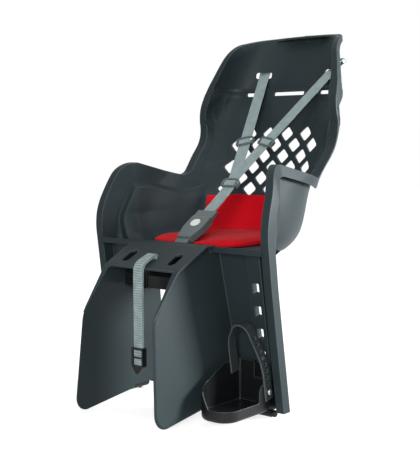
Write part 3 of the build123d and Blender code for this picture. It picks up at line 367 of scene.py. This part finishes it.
shell_plastic = plastic(
    "shell_plastic",
    dark=(0.016, 0.0245, 0.0275),
    light=(0.023, 0.034, 0.038),
    # the edge colour is a painted highlight on the rounded edges
    edge=(0.060, 0.080, 0.086),
    grain_scale=1300.0,
    roughness=(0.40, 0.52),
    relief_strength=0.35,
)
shell = moulding("seat_shell", 0.0012, shell_plastic, plain=(0.338, 0.366))
corner_way = Vector((0.769, 0.639, 0.0))
corner_reach, corner_pull = 0.343, 0.9
corner_low_z, corner_blend, corner_inner_x = 0.43, 0.012, 0.06
oval_middle = Vector((0.052, -0.010, 0.0))
oval_x, oval_y, oval_z = (0.040, 0.064), (-0.030, 0.010), (-0.0075, 0.002)
oval_wider, oval_longer = 0.35, 0.20
nose_slope, nose_y, nose_z = 0.514, -0.003, 0.05703
for vertex in shell.data.vertices:
    side = 1 if vertex.co.x > 0 else -1
    out = abs(vertex.co.x)
    reach = corner_way.x * out + corner_way.y * vertex.co.y
    if vertex.co.z > corner_low_z and out > corner_inner_x and reach > corner_reach:
        pull = corner_pull * (reach - corner_reach) * min((vertex.co.z - corner_low_z) / corner_blend, 1.0)
        vertex.co -= Vector((side * corner_way.x, corner_way.y, 0.0)) * pull
    above_nose = vertex.co.z - (nose_z + nose_slope * (vertex.co.y - nose_y))
    by_oval = oval_x[0] < out < oval_x[1] and oval_y[0] < vertex.co.y < oval_y[1]
    if by_oval and oval_z[0] < above_nose < oval_z[1]:
        along = oval_longer * (vertex.co.y - oval_middle.y)
        wider = oval_wider * (vertex.co.x - side * oval_middle.x)
        vertex.co += Vector((wider, along, nose_slope * along))

# ---- Seat cushion -------------------------------------------------------------------------
# A thin foam pad sewn into red woven cloth. It lies loose on the pan, turns up along the back
# and is notched at the front for the crotch strap.
cloth_weave, given, made = node_group("cloth_weave", [("Threads", 260.0)], ["Height", "Fade"])
nodes, links = cloth_weave.nodes, cloth_weave.links
place = nodes.new("ShaderNodeTexCoord")
threads = []
for direction in ("X", "Y", "Z"):
    thread = nodes.new("ShaderNodeTexWave")
    thread.bands_direction = direction
    thread.inputs["Distortion"].default_value = 0.6
    thread.inputs["Detail Scale"].default_value = 0.5
    links.new(place.outputs["Object"], thread.inputs["Vector"])
    links.new(given.outputs["Threads"], thread.inputs["Scale"])
    threads.append(thread.outputs["Fac"])
weft = math_node(nodes, links, "MAXIMUM", threads[1], threads[2])
crossed = math_node(nodes, links, "MULTIPLY", threads[0], weft)
links.new(crossed, made.inputs["Height"])
fade = nodes.new("ShaderNodeTexNoise")
fade.inputs["Scale"].default_value = 24.0
fade.inputs["Detail"].default_value = 4.0
links.new(place.outputs["Object"], fade.inputs["Vector"])
links.new(fade.outputs["Fac"], made.inputs["Fade"])

cushion_cloth, nodes, links, output = empty_material("cushion_cloth")
cloth = nodes.new("ShaderNodeBsdfPrincipled")
cloth.inputs["Sheen Weight"].default_value = 0.08
cloth.inputs["Sheen Roughness"].default_value = 0.5
cloth.inputs["Sheen Tint"].default_value = (1.0, 0.45, 0.45, 1)
cloth.inputs["Specular IOR Level"].default_value = 0.12
links.new(cloth.outputs[0], output.inputs["Surface"])
weave = nodes.new("ShaderNodeGroup")
weave.node_tree = cloth_weave
weave.inputs["Threads"].default_value = 260.0
faded = colour_mix(nodes, links, weave.outputs["Fade"], (0.49, 0.001, 0.007), (0.63, 0.002, 0.013))
threaded = spread(nodes, links, weave.outputs["Height"], 0.0, 0.35)
links.new(colour_mix(nodes, links, threaded, faded, (0.48, 0.001, 0.006)), cloth.inputs["Base Color"])
links.new(spread(nodes, links, weave.outputs["Fade"], 0.72, 0.88), cloth.inputs["Roughness"])
relief(nodes, links, weave.outputs["Height"], cloth, 0.25, 0.0003)

cushion = merged_copy("seat_cushion", "seat_cushion_cover")
slack = cushion.modifiers.new("slack", "REMESH")
slack.mode = "VOXEL"
slack.voxel_size = 0.0042
bpy.ops.object.modifier_apply(modifier="slack")
pull_in = cushion.modifiers.new("pull_in", "DISPLACE")
pull_in.strength = -0.0022
pull_in.mid_level = 0.0
bpy.ops.object.modifier_apply(modifier="pull_in")
cushion_rest = [vertex.co.copy() for vertex in cushion.data.vertices]
pad_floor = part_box("seat_cushion")[0][2]
filling_frames = 20
swell_cap = 0.005
filling = cushion.modifiers.new("filling", "CLOTH")
filling.settings.use_pressure = True
filling.settings.uniform_pressure_force = 4.0
filling.settings.effector_weights.gravity = 0.0
for step in range(1, filling_frames + 1):
    scene.frame_set(step)
select_only(cushion)
bpy.ops.object.modifier_apply(modifier="filling")
scene.frame_set(1)
for vertex, rest in zip(cushion.data.vertices, cushion_rest):
    moved = vertex.co - rest
    if moved.length > swell_cap:
        vertex.co = rest + moved * (swell_cap / moved.length)
    vertex.co.z = max(vertex.co.z, pad_floor)
even = cushion.modifiers.new("even", "SMOOTH")
even.iterations = 4
even.factor = 0.5
select_only(cushion)
bpy.ops.object.modifier_apply(modifier="even")
fine = cushion.modifiers.new("fine", "SUBSURF")
fine.levels = 1
fine.render_levels = 1
bpy.ops.object.modifier_apply(modifier="fine")
bpy.ops.object.shade_smooth()
fit_piece(cushion, cushion_cloth, "seat_cushion")

# ---- Shoulder straps ----------------------------------------------------------------------
# Grey polyester webbing, woven with fine ribs across it. Each strap is looped on a steel bar
# behind the back, comes through its belt slot and runs down to the buckle tongue, left over right.
strap_cells = 6


def edge_line(points, fineness=10):
    """Places along the smooth line that one edge of a strap follows."""
    curve = bpy.data.curves.new("strap_edge", "CURVE")
    curve.dimensions = "3D"
    curve.resolution_u = fineness
    spline = curve.splines.new("NURBS")
    spline.points.add(len(points) - 1)
    for control, point in zip(spline.points, points):
        control.co = (*point, 1)
    spline.order_u = 3
    spline.use_endpoint_u = True
    edge = bpy.data.objects.new("strap_edge", curve)
    bpy.context.collection.objects.link(edge)
    drawn = bpy.data.meshes.new_from_object(edge.evaluated_get(bpy.context.evaluated_depsgraph_get()))
    places = [vertex.co.copy() for vertex in drawn.vertices]
    bpy.data.objects.remove(edge)
    bpy.data.curves.remove(curve)
    bpy.data.meshes.remove(drawn)
    return places


def strap(name, stations, width, thick):
    """Flat webbing along stations of (place, direction across), with its map in metres."""
    left = edge_line([place - across * width / 2 for place, across in stations])
    right = edge_line([place + across * width / 2 for place, across in stations])
    rows = len(left)
    along = [0.0]
    for row in range(1, rows):
        step = (left[row] + right[row]) / 2 - (left[row - 1] + right[row - 1]) / 2
        along.append(along[-1] + step.length)
    bpy.ops.object.select_all(action="DESELECT")
    bpy.ops.mesh.primitive_grid_add(x_subdivisions=strap_cells, y_subdivisions=rows - 1, size=2)
    band = bpy.context.object
    band.name = name
    mesh = band.data
    mapped = []
    for vertex in mesh.vertices:
        share = (vertex.co.x + 1) / 2
        row = round((vertex.co.y + 1) / 2 * (rows - 1))
        vertex.co = left[row].lerp(right[row], share)
        mapped.append((share * width, along[row]))
    for loop, spot in zip(mesh.loops, mesh.uv_layers[0].data):
        spot.uv = mapped[loop.vertex_index]
    body = band.modifiers.new("body", "SOLIDIFY")
    body.thickness = thick
    body.offset = 0
    bpy.ops.object.modifier_apply(modifier="body")
    selvedge = band.modifiers.new("selvedge", "BEVEL")
    selvedge.width = thick * 0.4
    selvedge.segments = 3
    selvedge.limit_method = "ANGLE"
    selvedge.angle_limit = radians(60)
    bpy.ops.object.modifier_apply(modifier="selvedge")
    bpy.ops.object.shade_smooth_by_angle(angle=radians(50))
    return band


ribbed_weave, given, made = node_group(
    "ribbed_weave", [("Rib", 0.0016), ("Yarn", 0.0009)], ["Height", "Shade"]
)
nodes, links = ribbed_weave.nodes, ribbed_weave.links
strap_map = nodes.new("ShaderNodeUVMap")
strap_map.uv_map = "UVMap"
apart = nodes.new("ShaderNodeSeparateXYZ")
links.new(strap_map.outputs[0], apart.inputs[0])
turns = math_node(nodes, links, "DIVIDE", apart.outputs["Y"], given.outputs["Rib"])
rib = math_node(nodes, links, "SINE", math_node(nodes, links, "MULTIPLY", turns, 2 * pi), 0)
yarns = math_node(nodes, links, "DIVIDE", apart.outputs["X"], given.outputs["Yarn"])
yarn_angle = math_node(nodes, links, "MULTIPLY", yarns, 2 * pi)
half_turn = math_node(nodes, links, "MULTIPLY", turns, pi)
lean = math_node(nodes, links, "ADD", yarn_angle, half_turn)
yarn = math_node(nodes, links, "SINE", lean, 0)
rib_share = math_node(nodes, links, "MULTIPLY", rib, 0.6)
yarn_share = math_node(nodes, links, "MULTIPLY", yarn, 0.4)
woven = math_node(nodes, links, "ADD", rib_share, yarn_share)
height = math_node(nodes, links, "MULTIPLY_ADD", woven, 0.5)
links.new(spread(nodes, links, height, 0, 1), made.inputs["Height"])
soil = nodes.new("ShaderNodeTexNoise")
soil.inputs["Scale"].default_value = 60.0
links.new(strap_map.outputs[0], soil.inputs["Vector"])
# The ribs are painted lighter on their crests and darker in their hollows, a painted shade, added to random
# soil tone.
rib_shade = math_node(nodes, links, "MULTIPLY", rib, 0.22)
links.new(math_node(nodes, links, "ADD", rib_shade, soil.outputs["Fac"]), made.inputs["Shade"])


def webbing(name, dark, light, rib, yarn, depth):
    """Woven polyester: ribs across the strap, yarns along it, a dull silky face."""
    material, nodes, links, output = empty_material(name)
    surface = nodes.new("ShaderNodeBsdfPrincipled")
    surface.inputs["Sheen Weight"].default_value = 0.15
    surface.inputs["Specular IOR Level"].default_value = 0.3
    links.new(surface.outputs[0], output.inputs["Surface"])
    weave = nodes.new("ShaderNodeGroup")
    weave.node_tree = ribbed_weave
    weave.inputs["Rib"].default_value = rib
    weave.inputs["Yarn"].default_value = yarn
    links.new(colour_mix(nodes, links, weave.outputs["Shade"], dark, light), surface.inputs["Base Color"])
    links.new(spread(nodes, links, weave.outputs["Shade"], 0.85, 0.65), surface.inputs["Roughness"])
    relief(nodes, links, weave.outputs["Height"], surface, 0.5, depth)
    return material


harness_webbing = webbing(
    "harness_webbing", (0.19, 0.25, 0.26), (0.33, 0.415, 0.42), rib=0.0016, yarn=0.0011, depth=0.0002
)
belt_width = 0.0245
belt_thick = 0.0016
belt_turn = radians(24)
left_lift = 0.0019
level = Vector((1, 0, 0))
bar_place = Vector((0.0885, 0.4352, 0.405))
slot_mouth = Vector((0.080, 0.4145, 0.384))
bar_loop = 0.0041
shoulder_place = Vector((0.02465, 0.27955, 0.247))
shoulder_face = Vector((0, -0.7124, 0.7018))
chest_place = Vector((0, 0.203, 0.170))
chest_face = Vector((0, -1, 1)).normalized()
chest_run = Vector((0, -1, -1)).normalized()
buckle_face = Vector((0, -0.5461, 0.8377))
core_roll = 0.0032
core_half, core_foot, core_lead = 0.0042, 0.0082, 0.013


def over_core(place, run, face, across):
    """Stations that take a strap over the core bar of its slider."""
    return [
        (place - run * core_lead, across),
        (place - run * core_foot, across),
        (place - run * core_half + face * core_roll, across),
        (place + run * core_half + face * core_roll, across),
        (place + run * core_foot, across),
        (place + run * core_lead, across),
    ]


for name, side, layer in (("shoulder_strap_right", 1, 0.0), ("shoulder_strap_left", -1, left_lift)):
    mirror = Vector((side, 1, 1))
    bar = bar_place * mirror
    slot_place = slot_mouth * mirror
    slider_place = shoulder_place * mirror + shoulder_face * layer
    bar_axis = Vector((cos(belt_turn), -side * sin(belt_turn), 0))
    run = (slider_place - slot_place).normalized()
    loop = bar_axis.cross(run).normalized() * bar_loop
    across = shoulder_face.cross(run).normalized()
    if across.x < 0:
        across = -across
    stations = [
        (bar - loop + run * 0.010, bar_axis),
        (bar - loop, bar_axis),
        (bar - loop - run * 0.005, bar_axis),
        (bar + loop - run * 0.005, bar_axis),
        (bar + loop, bar_axis),
        (slot_place - run * 0.006, bar_axis.lerp(level, 0.6).normalized()),
        (slot_place + run * 0.010, level),
        (slot_place.lerp(slider_place, 0.5), level.lerp(across, 0.6).normalized()),
    ]
    stations += over_core(slider_place, run, shoulder_face, across)
    meeting = Vector((side * 0.006, 0.2303, 0.1975)) + chest_face * layer
    stations.append((meeting, across.lerp(level, 0.3).normalized()))
    joined = Vector((0, 0.2165, 0.1835)) + chest_face * layer
    stations.append((joined, across.lerp(level, 0.8).normalized()))
    stations += over_core(chest_place + chest_face * layer, chest_run, chest_face, level)
    stations += [
        (Vector((0, 0.1800, 0.1500)) + chest_face * layer, level),
        (Vector((0, 0.1470, 0.1266)) + buckle_face * layer, level),
        (Vector((0, 0.1263, 0.1129)) + buckle_face * layer, level),
    ]
    belt = strap(name + "_webbing", stations, belt_width, belt_thick)
    fit_piece(belt, harness_webbing, name)

# ---- Bucket step --------------------------------------------------------------------------
# Inside the broad border of the rim, the moulding steps in towards the child. The step follows
# the rim from the front of each armrest, under its top and up the side of the back.
bucket_levels = [
    (0.058, 0.266, 0.140, 0.183, 0.138, 2.0),
    (0.078, 0.290, 0.158, 0.183, 0.160, 2.0),
    (0.115, 0.308, 0.167, 0.183, 0.178, 2.05),
    (0.165, 0.322, 0.165, 0.178, 0.180, 2.2),
    (0.205, 0.331, 0.158, 0.166, 0.130, 2.5),
    (0.264, 0.350, 0.152, 0.155, 0.080, 2.9),
    (0.310, 0.371, 0.146, 0.149, 0.066, 3.1),
    (0.354, 0.391, 0.138, 0.140, 0.062, 3.2),
]
rim_route = [
    (0.359, 0.441), (0.330, 0.377), (0.300, 0.310), (0.3085, 0.286), (0.317, 0.262), (0.283, 0.222),
    (0.250, 0.182), (0.170, 0.199), (0.090, 0.216), (0.0675, 0.165), (0.045, 0.114), (0.0525, 0.060),
    (0.060, 0.005),
]
rim_line = edge_line([Vector((0, y, z)) for y, z in rim_route], fineness=60)
rim_tree = KDTree(len(rim_line))
for number, point in enumerate(rim_line):
    rim_tree.insert(point, number)
rim_tree.balance()
step_depth = 0.0105
step_width = 0.010
step_skin = 0.0015
wall_bite = 0.0008
rim_margin = 0.008
front_border, top_less, back_less = 0.042, 0.014, 0.014
low_z, high_z = 0.0655, 0.346
front_y = 0.046
side_share = 0.6
corner_turn = radians(56)
behind_y = 0.62


def ramp(value, low, high):
    """0 below one limit, 1 above the other and a smooth rise between them."""
    share = min(max((value - low) / (high - low), 0.0), 1.0)
    return share * share * (3 - 2 * share)


def bucket_place(part, z):
    """A place on the right inner wall of the bucket: part 0 is its front and 1 is well round its corner."""
    for low, high in zip(bucket_levels, bucket_levels[1:]):
        if low[0] <= z <= high[0]:
            share = (z - low[0]) / (high[0] - low[0])
            _, back_y, hip_x, front_x, depth, square = (a + (b - a) * share for a, b in zip(low, high))
    start_y = back_y - depth
    if part < side_share:
        y = front_y + (start_y - front_y) * part / side_share
        return Vector((front_x + (hip_x - front_x) * ramp(y, 0.080, 0.120), y, z))
    turn = corner_turn * (part - side_share) / (1 - side_share)
    return Vector((hip_x * cos(turn) ** (2 / square), start_y + depth * sin(turn) ** (2 / square), z))


def inside_rim(place):
    """True for a place behind the rim, seen from the side."""
    odd = False
    outline = [(point.y, point.z) for point in rim_line[::20]]
    outline += [(behind_y, rim_route[-1][1]), (behind_y, rim_route[0][1])]
    for (y0, z0), (y1, z1) in zip(outline, outline[1:] + outline[:1]):
        if (z0 > place.z) != (z1 > place.z) and place.y < y0 + (y1 - y0) * (place.z - z0) / (z1 - z0):
            odd = not odd
    return odd


for name, side in (("bucket_step_right", 1), ("bucket_step_left", -1)):
    bpy.ops.object.select_all(action="DESELECT")
    bpy.ops.mesh.primitive_grid_add(x_subdivisions=130, y_subdivisions=110, size=2)
    step = bpy.context.object
    step.name = name
    outside = set()
    for vertex in step.data.vertices:
        part = (vertex.co.x + 1) / 2
        z = low_z + (high_z - low_z) * (vertex.co.y + 1) / 2
        place = bucket_place(part, z)
        ahead = bucket_place(min(part + 0.004, 1.0), z) - bucket_place(max(part - 0.004, 0.0), z)
        inward = Vector((-ahead.y, ahead.x, 0)).normalized()
        _, _, away = rim_tree.find((0, place.y, place.z))
        border = front_border - top_less * ramp(place.y, 0.085, 0.160)
        border -= back_less * ramp(place.z, 0.170, 0.280)
        rise = ramp(away, border, border + step_width)
        sooner = 0.2 * ramp(z, 0.26, 0.34)
        rise *= 1 - ramp(part, 0.80 - sooner, 0.97 - sooner)
        rise *= 1 - 0.9 * ramp(z, 0.20, 0.345)
        place += inward * (step_depth * rise - wall_bite)
        if away < rim_margin or part > 0.985 - sooner or not inside_rim(place):
            outside.add(vertex.index)
        vertex.co = (side * place.x, place.y, place.z)
    bpy.ops.object.mode_set(mode="EDIT")
    bpy.ops.mesh.select_all(action="DESELECT")
    bpy.ops.object.mode_set(mode="OBJECT")
    for index in outside:
        step.data.vertices[index].select = True
    bpy.ops.object.mode_set(mode="EDIT")
    bpy.ops.mesh.delete(type="VERT")
    bpy.ops.mesh.select_all(action="SELECT")
    if side > 0:
        bpy.ops.mesh.flip_normals()
    bpy.ops.object.mode_set(mode="OBJECT")
    back = step.modifiers.new("back", "SOLIDIFY")
    back.thickness = step_skin
    back.offset = -1
    bpy.ops.object.modifier_apply(modifier="back")
    bpy.ops.object.shade_smooth_by_angle(angle=shade_turn)
    step.data.materials.append(shell_plastic)
    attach(step, "seat")

# ---- Belt bars ----------------------------------------------------------------------------
# Short zinc plated steel bars behind the back, which keep the shoulder straps from pulling
# through their slots. The same steel is used for the other bars, bolts, nuts and studs.
brushed_steel, nodes, links, output = empty_material("zinc_steel")
metal = nodes.new("ShaderNodeBsdfPrincipled")
metal.inputs["Metallic"].default_value = 1.0
links.new(metal.outputs[0], output.inputs["Surface"])
place = nodes.new("ShaderNodeTexCoord")
drawn_lines = nodes.new("ShaderNodeTexNoise")
drawn_lines.inputs["Scale"].default_value = 420.0
drawn_lines.inputs["Detail"].default_value = 3.0
links.new(place.outputs["Object"], drawn_lines.inputs["Vector"])
zinc = colour_mix(nodes, links, drawn_lines.outputs["Fac"], (0.46, 0.47, 0.48), (0.66, 0.67, 0.67))
links.new(zinc, metal.inputs["Base Color"])
links.new(spread(nodes, links, drawn_lines.outputs["Fac"], 0.24, 0.46), metal.inputs["Roughness"])
relief(nodes, links, drawn_lines.outputs["Fac"], metal, 0.15, 0.0001)
bar_shorter = 0.37
for name, side in (("belt_stop_left", -1), ("belt_stop_right", 1)):
    bar_axis = Vector((cos(belt_turn), -side * sin(belt_turn), 0))
    bar_middle = bar_place * Vector((side, 1, 1))
    bar = moulding(name, 0.0003, brushed_steel)
    for vertex in bar.data.vertices:
        vertex.co -= bar_axis * (vertex.co - bar_middle).dot(bar_axis) * bar_shorter

# ---- Webbing sliders ----------------------------------------------------------------------
# Oval rings of dark grey nylon: two set the length of the shoulder straps, and one holds both
# straps together at the chest. The webbing rolls over the core bar inside each ring.
buckle_plastic = plastic(
    "buckle_plastic",
    dark=(0.070, 0.094, 0.095),
    light=(0.098, 0.126, 0.126),
    # the edge colour is a painted highlight on the rounded edges
    edge=(0.20, 0.235, 0.235),
    grain_scale=1900.0,
    roughness=(0.32, 0.46),
    relief_strength=0.2,
    gloss=0.35,
)
bow_points = 48
bow_thick = 0.0022
bow_wide, bow_high, bow_drop = 0.0172, 0.0088, 0.0012
bow_square = 0.5


def slider_bow(name, place, face, across):
    """The thick rounded ring of a slider, bent round the strap's face."""
    along = face.cross(across)
    curve = bpy.data.curves.new(name, "CURVE")
    curve.dimensions = "3D"
    curve.bevel_depth = bow_thick
    curve.bevel_resolution = 4
    spline = curve.splines.new("POLY")
    spline.points.add(bow_points - 1)
    spline.use_cyclic_u = True
    for step, control in enumerate(spline.points):
        angle = 2 * pi * step / bow_points
        wide = bow_wide * abs(cos(angle)) ** bow_square * (1 if cos(angle) > 0 else -1)
        high = bow_high * abs(sin(angle)) ** bow_square * (1 if sin(angle) > 0 else -1)
        drop = bow_drop * (wide / bow_wide) ** 2
        control.co = (*(place + across * wide + along * high - face * drop), 1)
    ring = bpy.data.objects.new(name, curve)
    bpy.context.collection.objects.link(ring)
    select_only(ring)
    bpy.ops.object.convert(target="MESH")
    bpy.ops.object.shade_smooth()
    ring.data.materials.clear()
    ring.data.materials.append(buckle_plastic)
    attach(ring, "seat")


for name, side, layer in (("shoulder_slider_right", 1, 0.0), ("shoulder_slider_left", -1, left_lift)):
    moulding(name, 0.0008, buckle_plastic)
    spot = shoulder_place * Vector((side, 1, 1)) + shoulder_face * (layer + 0.0028)
    run = (shoulder_place - slot_mouth) * Vector((side, 1, 1))
    slider_bow(name + "_bow", spot, shoulder_face, shoulder_face.cross(run).normalized())
moulding("chest_slider", 0.0008, buckle_plastic)
slider_bow("chest_slider_bow", chest_place + chest_face * 0.0046, chest_face, level)

# ---- Buckle -------------------------------------------------------------------------------
# A grey nylon buckle: the tongue with the straps sewn into its head clicks into the tapered
# body, and a pale round push button in the body lets it go.
moulding("buckle_tongue", 0.0006, buckle_plastic)
moulding("buckle_body", 0.0006, buckle_plastic)
button_plastic = plastic(
    "button_plastic",
    dark=(0.70, 0.73, 0.71),
    light=(0.80, 0.82, 0.80),
    # the edge colour is a painted highlight on the rounded edges
    edge=(0.88, 0.89, 0.87),
    grain_scale=2200.0,
    roughness=(0.28, 0.38),
    relief_strength=0.08,
)
moulding("buckle_button", 0.0004, button_plastic)

# ---- Crotch strap -------------------------------------------------------------------------
# The same webbing, narrower, looped on a steel bar under the pan and clamped in the lower end
# of the buckle.
crotch_width = 0.020
crotch_points = [
    (0.0551, 0.0545), (0.0551, 0.0610), (0.058, 0.0665), (0.0600, 0.0697), (0.072, 0.0775), (0.0804, 0.083),
]
sleeve_width, sleeve_thick = 0.0285, 0.0062
sleeve_points = [(0.0592, 0.0668), (0.0622, 0.0705), (0.0665, 0.0738), (0.0745, 0.0790)]


def middle_strap(name, points, width, thick):
    """A strap that runs in the middle plane, lying level from side to side."""
    return strap(name, [(Vector((0, y, z)), level) for y, z in points], width, thick)


crotch = middle_strap("crotch_strap_webbing", crotch_points, crotch_width, belt_thick)
fit_piece(crotch, harness_webbing, "crotch_strap")
sleeve = middle_strap("crotch_sleeve", sleeve_points, sleeve_width, sleeve_thick)
sleeve.data.materials.append(buckle_plastic)
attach(sleeve, "seat")
moulding("crotch_strap_bar", 0.0003, brushed_steel)

# ---- Frame strap --------------------------------------------------------------------------
# A doubled safety strap of heavier ribbed webbing. Both runs hang from a bar under the nose,
# come out of its slot in a bow and go down between the leg guards to a ladder buckle.
frame_webbing = webbing(
    "frame_webbing", (0.10, 0.14, 0.15), (0.40, 0.49, 0.50), rib=0.0042, yarn=0.0014, depth=0.0008
)
frame_width, frame_thick = 0.020, 0.0018
front_run = [
    (-0.0070, 0.0400), (-0.0072, 0.0470), (-0.0086, 0.0530), (-0.0086, 0.0595), (-0.0140, 0.0572),
    (-0.0330, 0.0503), (-0.0430, 0.0438), (-0.0463, 0.0340), (-0.0462, 0.0000), (-0.0455, -0.0500),
    (-0.0455, -0.1270),
]
rear_run = [
    (-0.0130, 0.0400), (-0.0128, 0.0460), (-0.0116, 0.0510), (-0.0116, 0.0562), (-0.0165, 0.0534),
    (-0.0330, 0.0471), (-0.0404, 0.0412), (-0.0432, 0.0320), (-0.0432, 0.0000), (-0.0430, -0.0500),
    (-0.0430, -0.1270),
]
front_band = middle_strap("frame_strap_front", front_run, frame_width, frame_thick)
rear_band = middle_strap("frame_strap_rear", rear_run, frame_width, frame_thick)
fit_piece(front_band, frame_webbing, "frame_strap")
fit_piece(rear_band, frame_webbing, "frame_strap")
moulding("frame_strap_bar", 0.0003, brushed_steel)

# ---- Ladder buckle ------------------------------------------------------------------------
# A moulded buckle in black nylon at the lower end of the frame strap. It clamps both runs of the
# strap between its cross bars.
black_plastic = plastic(
    "black_plastic",
    dark=(0.0035, 0.0042, 0.0046),
    light=(0.0065, 0.0078, 0.0083),
    # the edge colour is a painted highlight on the rounded edges
    edge=(0.045, 0.052, 0.055),
    grain_scale=1600.0,
    roughness=(0.30, 0.42),
    relief_strength=0.2,
    gloss=0.22,
)
moulding("frame_strap_buckle", 0.0006, black_plastic)

# ---- Footrests ----------------------------------------------------------------------------
# Black moulded cups for the shoes. Each slides on the slotted rail of its leg well and is held
# by a locking pin with a round knob, in a barrel under the heel.
for side in ("left", "right"):
    moulding("footrest_" + side, 0.0009, black_plastic)
    moulding("footrest_pin_" + side, 0.0004, black_plastic)

# ---- Foot straps --------------------------------------------------------------------------
# Soft dark grey rubber bands over the instep, with a row of holes. One end goes into the cup,
# the other is buttoned on a plated stud at its outer side.
strap_rubber = plastic(
    "strap_rubber",
    dark=(0.022, 0.029, 0.031),
    light=(0.034, 0.043, 0.045),
    # the edge colour is a painted highlight on the rounded edges
    edge=(0.22, 0.25, 0.26),
    grain_scale=900.0,
    roughness=(0.42, 0.56),
    relief_strength=0.15,
    gloss=0.2,
)
for side in ("left", "right"):
    moulding("foot_strap_" + side, 0.0005, strap_rubber)
    moulding("foot_strap_stud_" + side, 0.0003, brushed_steel)

# ---- Carrier clamp ------------------------------------------------------------------------
# A black moulded block bolted under the pan sits on the carrier. Two jaws run in its channel
# on one steel screw with opposite threads, which a ribbed wheel in the middle turns.
moulding("carrier_base", 0.0008, black_plastic)
moulding("clamp_jaw_left", 0.0008, black_plastic)
moulding("clamp_jaw_right", 0.0008, black_plastic)
moulding("clamp_screw", 0.0003, brushed_steel)

# ---- Pan bolts ----------------------------------------------------------------------------
# Four countersunk bolts of zinc plated steel come down through the pan into hexagon nuts in the
# clamp block, and hold the two together.
moulding("base_bolts", 0.0002, brushed_steel)
moulding("base_nuts", 0.0003, brushed_steel)

bpy.ops.object.select_all(action="DESELECT")
